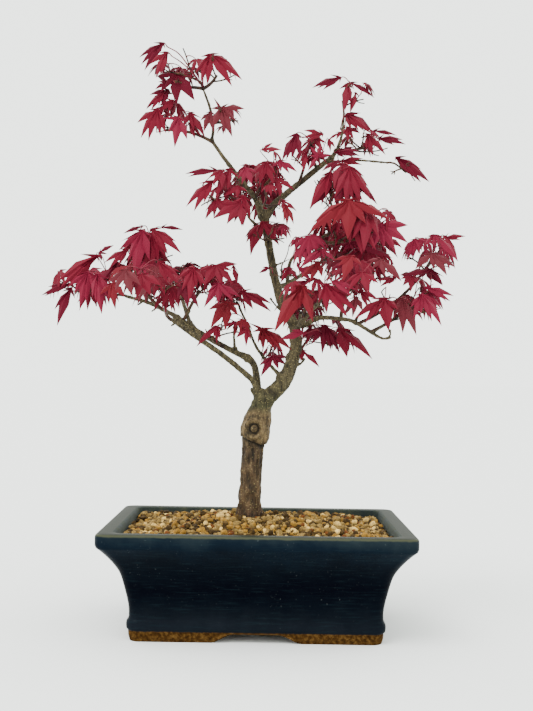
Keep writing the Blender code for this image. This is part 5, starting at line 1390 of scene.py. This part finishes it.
def leaf_shape(lobes):
    """A leaf pulled out of a small disc, with a ridge along each lobe, and closed underneath."""
    shape = bmesh.new()
    bmesh.ops.create_circle(shape, segments=2 * len(lobes), radius=1.0, cap_ends=True, cap_tris=True)
    hub = min(shape.verts, key=lambda vert: vert.co.length)
    rim = [vert for vert in shape.verts if vert != hub]
    rim.sort(key=lambda vert: math.atan2(vert.co.y, vert.co.x))
    hub.co.z = 0.02
    notches, spines = rim[0::2], rim[1::2]
    notches[0].co = Vector((-0.035, 0.0, 0.0))
    for notch, low, high in zip(notches[1:], lobes, lobes[1:]):
        angle = (low[0] + high[0]) / 2
        near = min(0.4 * low[1], 0.4 * high[1], WEB / math.tan((high[0] - low[0]) / 2))
        notch.co = Vector((near * math.cos(angle), near * math.sin(angle), 0.0))
    ring = notches + notches[:1]
    under = shape.verts.new((0.0, 0.0, -0.015))
    for spine, (angle, length, wide), low, high in zip(spines, lobes, ring, ring[1:]):
        way = Vector((math.cos(angle), math.sin(angle), 0.0))
        side = Vector((-way.y, way.x, 0.0))
        spine.co = way * min(0.24, length * 0.3) + UP * RIDGE * 0.8
        edges = [edge for edge in spine.link_edges if edge.other_vert(spine) in (low, high)]
        outline = [low], [high]
        for share, width, ridge in LOBE_SECTIONS if length >= STUB_LOBE else ():
            spot = way * length * share

            def move(vert, spot=spot, width=width, ridge=ridge):
                over = vert.co.z > 0.001
                off = 0.0 if over else math.copysign(wide * width, vert.co.dot(side))
                vert.co = spot + side * off + UP * (RIDGE * ridge if over else 0.0)

            edges = pull(shape, edges, move)
            ends = [vert for edge in edges for vert in edge.verts if vert.co.z < 0.001]
            ends.sort(key=lambda vert: vert.co.dot(side))
            outline[0].append(ends[0])
            outline[1].append(ends[-1])
        tip = way * length
        edges = pull(shape, edges, lambda vert, tip=tip: setattr(vert, "co", tip))
        bmesh.ops.pointmerge(shape, verts=list({vert for edge in edges for vert in edge.verts}), merge_co=tip)
        point = min(shape.verts, key=lambda vert: (vert.co - tip).length)
        shape.faces.new([under] + outline[0] + [point] + outline[1][::-1])
    bmesh.ops.recalc_face_normals(shape, faces=shape.faces)
    return arrays_of(shape)


def filled_out(lobes):
    """The lobes of a leaf with shorter ones in its wide gaps and beside its stalk, each with its width."""
    rows = sorted(lobes)
    found = [rows[0]]
    for row in rows[1:]:
        gap = row[0] - found[-1][0]
        if gap > LOBE_GAP:
            found.append((row[0] - gap / 2, 0.75 * min(row[1], found[-1][1])))
        found.append(row)
    low, high = found[0], found[-1]
    if low[0] > -1.3:
        found.insert(0, (low[0] - 0.62, 0.36 * low[1]))
    if high[0] < 1.3:
        found.append((high[0] + 0.62, 0.36 * high[1]))
    shaped = []
    for i, (angle, length) in enumerate(found):
        room = min(abs(angle - other) for other, _ in found[:i] + found[i + 1:])
        shaped.append((angle, length, length * clamp(0.72 * math.tan(room / 2), *LOBE_WIDTHS)))
    return shaped


def leading_leaf(row, mass, trees, rng):
    """A leaf whose hub and lobe tips are given, in a plane that faces out and up from its mass."""
    tint, depth, (hub_x, hub_z), *tips = row
    lean = rng.uniform(*LEADING_LEANS)
    swing = LEADING_SWING * clamp((hub_x - mass.middle[0]) / mass.half[0], -1.0, 1.0)
    swing += rng.uniform(-0.15, 0.15)
    normal = Vector((swing, -1.0, lean)).normalized()
    eye, hub = Vector(EYE), Vector((hub_x, depth, hub_z))
    spokes = []
    for x, z in tips:
        y = depth + swing * (x - hub_x) + lean * (z - hub_z)
        near = (y - eye.y) / (depth - eye.y)
        spokes.append(Vector((eye.x + (x - eye.x) * near, y, eye.z + (z - eye.z) * near)) - hub)
    size = max(spoke.length for spoke in spokes)
    forward = sum(spokes, Vector()).normalized()
    side = normal.cross(forward)
    points, faces = leaf_shape(filled_out([
        (math.atan2(spoke.dot(side), spoke.dot(forward)), spoke.length / size) for spoke in spokes
    ]))
    points[:, 2] += LEADING_ARCH * np.sin(math.pi * np.minimum(np.linalg.norm(points[:, :2], axis=1), 1.0))
    for _ in range(5):
        placed = points @ np.array([forward[:], side[:], normal[:]]) * size + np.array(hub[:])
        if not meets(placed, faces, trees):
            break
        hub = eye + (hub - eye) * 0.9955
    return tint, hub, forward, size, placed, faces


def reach_bud(buds, limbs, hub, forward, size, rng):
    """The bud that carries a foremost leaf's stalk, with a new shoot to it where none stands near."""
    bud = min((bud for bud, _ in buds), key=lambda bud: (bud - hub).length)
    if (bud - hub).length < LEADING_REACH:
        return bud, None
    spots = [point for limb in limbs for point in limb[len(limb) // 3:]]
    start = min(spots, key=lambda point: (point.xyz - hub).length)
    end = hub - forward * size * 0.25 + (start.xyz - hub).normalized() * 0.55 * LEADING_REACH
    return end, bowed(start.xyz, end, (min(start.w, FINE_RADII[0]), FINE_RADII[1]), rng, parts=5)


def stalk_foot(buds, hub, forward, size):
    """The nearest bud that a stalk can reach the hub from without a sharp bend, and its spray."""
    fit = []
    for bud, spray in buds:
        reach = (hub - bud).length
        ahead = (hub - bud).dot(forward) / reach
        if STALK_SHARE[0] * size < reach < STALK_SHARE[1] * size and ahead > STALK_BEND:
            fit.append((reach, bud, spray))
    return min(fit, key=lambda found: found[0])[1:] if fit else None


def leaf_points(points, hub, forward, up, length, bend):
    """A copy of the leaf's points in its place, its lobes hanging further down the further out they are."""
    placed = points @ np.array([forward[:], up.cross(forward)[:], up[:]]) * length
    reach = np.linalg.norm(placed, axis=1, keepdims=True)
    hung = placed + np.array(DOWN[:]) * bend * reach * reach / length
    size = np.maximum(np.linalg.norm(hung, axis=1, keepdims=True), 1e-6)
    return hung / size * reach + np.array(hub[:])


def grow_leaf(mass, buds, slot, wanted, attempt, hubs, trees, shapes, rng):
    """One leaf on its stalk, or nothing where none fits."""
    height = 1.0 - 2.0 * (slot + 0.5) / wanted
    turn = GOLDEN_ANGLE * slot
    spread = math.sqrt(1.0 - height * height)
    loose = 0.15 + 0.85 * attempt / LEAF_TRIES
    share = rng.uniform(*LEAF_SHARES)
    target = Vector(mass.middle) + Vector([
        half * (share * way + loose * rng.uniform(-0.6, 0.6))
        for half, way in zip(mass.half, (spread * math.cos(turn), spread * math.sin(turn), height))
    ])
    size = mass.length * LEAF_SCALE * rng.uniform(*LEAF_SIZES) * (1.0 - 0.2 * attempt / LEAF_TRIES)
    to_front = clamp((TURN_FROM - mass.middle[1]) / TURN_RANGE, -1.0, 1.0)
    out = target - Vector(mass.middle)
    out = Vector((out.x / mass.half[0], out.y / mass.half[1] - 0.6 * to_front, 0.0)).normalized()
    droop = math.radians(rng.uniform(*LEAF_DROOPS))
    forward = out * math.cos(droop) + DOWN * math.sin(droop)
    up = out * math.sin(droop) + UP * math.cos(droop)
    roll = rng.uniform(-LEAF_ROLL, LEAF_ROLL)
    up = (up * math.cos(roll) + up.cross(forward) * math.sin(roll)).normalized()
    hub = target - forward * 0.4 * size
    fronted = mass.name in LEADING
    if fronted and hub.y < mass.middle[1] - 0.3 * mass.half[1]:
        return None
    if any((other - hub).length < LEAF_SPACING * max(reach, size) for other, reach in hubs):
        return None
    foot = stalk_foot(buds, hub, forward, size)
    if foot is None:
        return None
    points, faces = rng.choice(shapes)
    placed = leaf_points(points, hub, forward, up, size, LEAF_BEND * rng.uniform(*LEAF_BENDS))
    margin = FRONT_MARGIN if fronted else SPACE_MARGIN
    if not all(in_space(spot, mass, margin) for spot in placed):
        return None
    if in_gap(placed) or meets(placed, faces, trees):
        return None
    stalk = arch(foot[0], hub, forward, rng)
    return None if blocked(stalk, trees) else (hub, size, placed, faces, stalk, foot[1])


def build_foliage(paths):
    """Stems, twigs, stalks and leaves of every mass, joined into one piece for each kind and tint."""
    trees = [node_tree(name) for name in WOOD]
    shapes = leaf_shapes()
    leaves = {tint: [] for tint in TINTS}
    stems, stalks, hubs = [], [], []
    for index, mass in enumerate(MASSES):
        rng = random.Random(SEED + index)
        stem = grow_stem(mass, paths, trees, rng)
        twigs = grow_twigs(mass, stem, trees, rng)
        fine = grow_fine(twigs, trees, rng)
        stems += [stem] + twigs + [shoot for shoot in fine if shoot]
        buds = buds_of(stem, twigs, fine)
        for knots in LONG_STALKS.get(mass.name, ()):
            ends = len(knots) - 1
            rods = [(*knot, blend(LONG_RADII, i / ends)) for i, knot in enumerate(knots)]
            stalks.append(smooth(rods, LIMB_STEP))
            buds.append((Vector(knots[-1]), 0))
        leading = LEADING.get(mass.name, ())
        for row in leading:
            tint, hub, forward, size, points, faces = leading_leaf(row, mass, trees, rng)
            bud, shoot = reach_bud(buds, [stem] + twigs, hub, forward, size, rng)
            if shoot:
                stems.append(shoot)
                buds.append((bud, 0))
            hubs.append((hub, size))
            stalks.append(arch(bud, hub, forward, rng))
            leaves[tint].append((points, faces))
        tints = mass.tints.split()
        wanted = round(mass.leaves * LEAF_FACTOR) - len(leading)
        for slot in range(wanted):
            leaf_rng = random.Random(SEED * 10 + index * 100 + slot)
            tries = (
                grow_leaf(mass, buds, slot, wanted, attempt, hubs, trees, shapes, leaf_rng)
                for attempt in range(LEAF_TRIES)
            )
            found = next(filter(None, tries), None)
            if found:
                hub, size, points, faces, stalk, spray = found
                hubs.append((hub, size))
                stalks.append(stalk)
                leaves[tints[(spray * 7 + index) % len(tints)]].append((points, faces))
    masses = [mass.name for mass in MASSES]
    for tint in TINTS:
        finish_piece("leaves_" + tint, joined(leaves[tint]), [leaf_tissue(tint)], masses, sharp=40)
    ripened = young_shoot("shoot_ripened", ("#1f1310", "#37231b", "#4d3a28"), 0.6)
    finish_piece("twigs", tubes(stems, 1), [ripened])
    red = young_shoot("leaf_stalk_red", ("#4a101d", "#641a28", "#7c2c34"), 0.5)
    finish_piece("leaf_stalks", tubes(stalks, 0), [red])


# ---- floor, light and camera -------------------------------------------------------------------

FLOOR_RADIUS = 40.0
SUN_FROM = Vector((-0.45, -0.5, 1.0))
SENSOR = 36.0
PICTURE_HEIGHT = 711.0
FOCAL_PIXELS = 1068.0  # the lens, in pixels of a picture of that height
CAMERA_PITCH = math.radians(91.15)
CAMERA_ROLL = math.radians(0.9)


def build_stage():
    """A plain pale floor, an even studio sky and one soft light from above at the left."""
    shape = bmesh.new()
    bmesh.ops.create_circle(shape, segments=96, radius=FLOOR_RADIUS, cap_ends=True)
    mesh = mesh_of(shape)
    paint, tree, shader, _ = new_material("floor_paint_matt")
    plug(tree, shader, {"Base Color": colour("#e7e8e7"), "Roughness": 1.0, "Specular IOR Level": 0.0})
    mesh.materials.append(paint)
    floor = in_scene("floor", mesh)

    world = bpy.data.worlds.new("studio")
    bpy.context.scene.world = world
    world.use_nodes = True
    sky = world.node_tree.nodes["Background"]
    plug(world.node_tree, sky, {"Color": (0.955, 1.0, 0.96, 1.0), "Strength": 3.1})

    sun = bpy.data.lights.new("light_over", "SUN")
    sun.energy = 2.6
    sun.angle = math.radians(30.0)
    in_scene("light_over", sun).rotation_euler = SUN_FROM.to_track_quat("Z", "Y").to_euler()


def build_camera():
    data = bpy.data.cameras.new("camera")
    data.sensor_width = SENSOR
    data.lens = SENSOR * FOCAL_PIXELS / PICTURE_HEIGHT
    data.clip_start = 0.01
    camera = in_scene("camera", data)
    turn = Matrix.Rotation(CAMERA_PITCH, 4, "X") @ Matrix.Rotation(CAMERA_ROLL, 4, "Z")
    camera.matrix_world = Matrix.Translation((Vector(EYE) + SHIFT) * MM) @ turn
    bpy.context.scene.camera = camera


build_stage()
build_camera()
build_pot()
build_bed()
build_gravel()
build_foliage(build_bark())
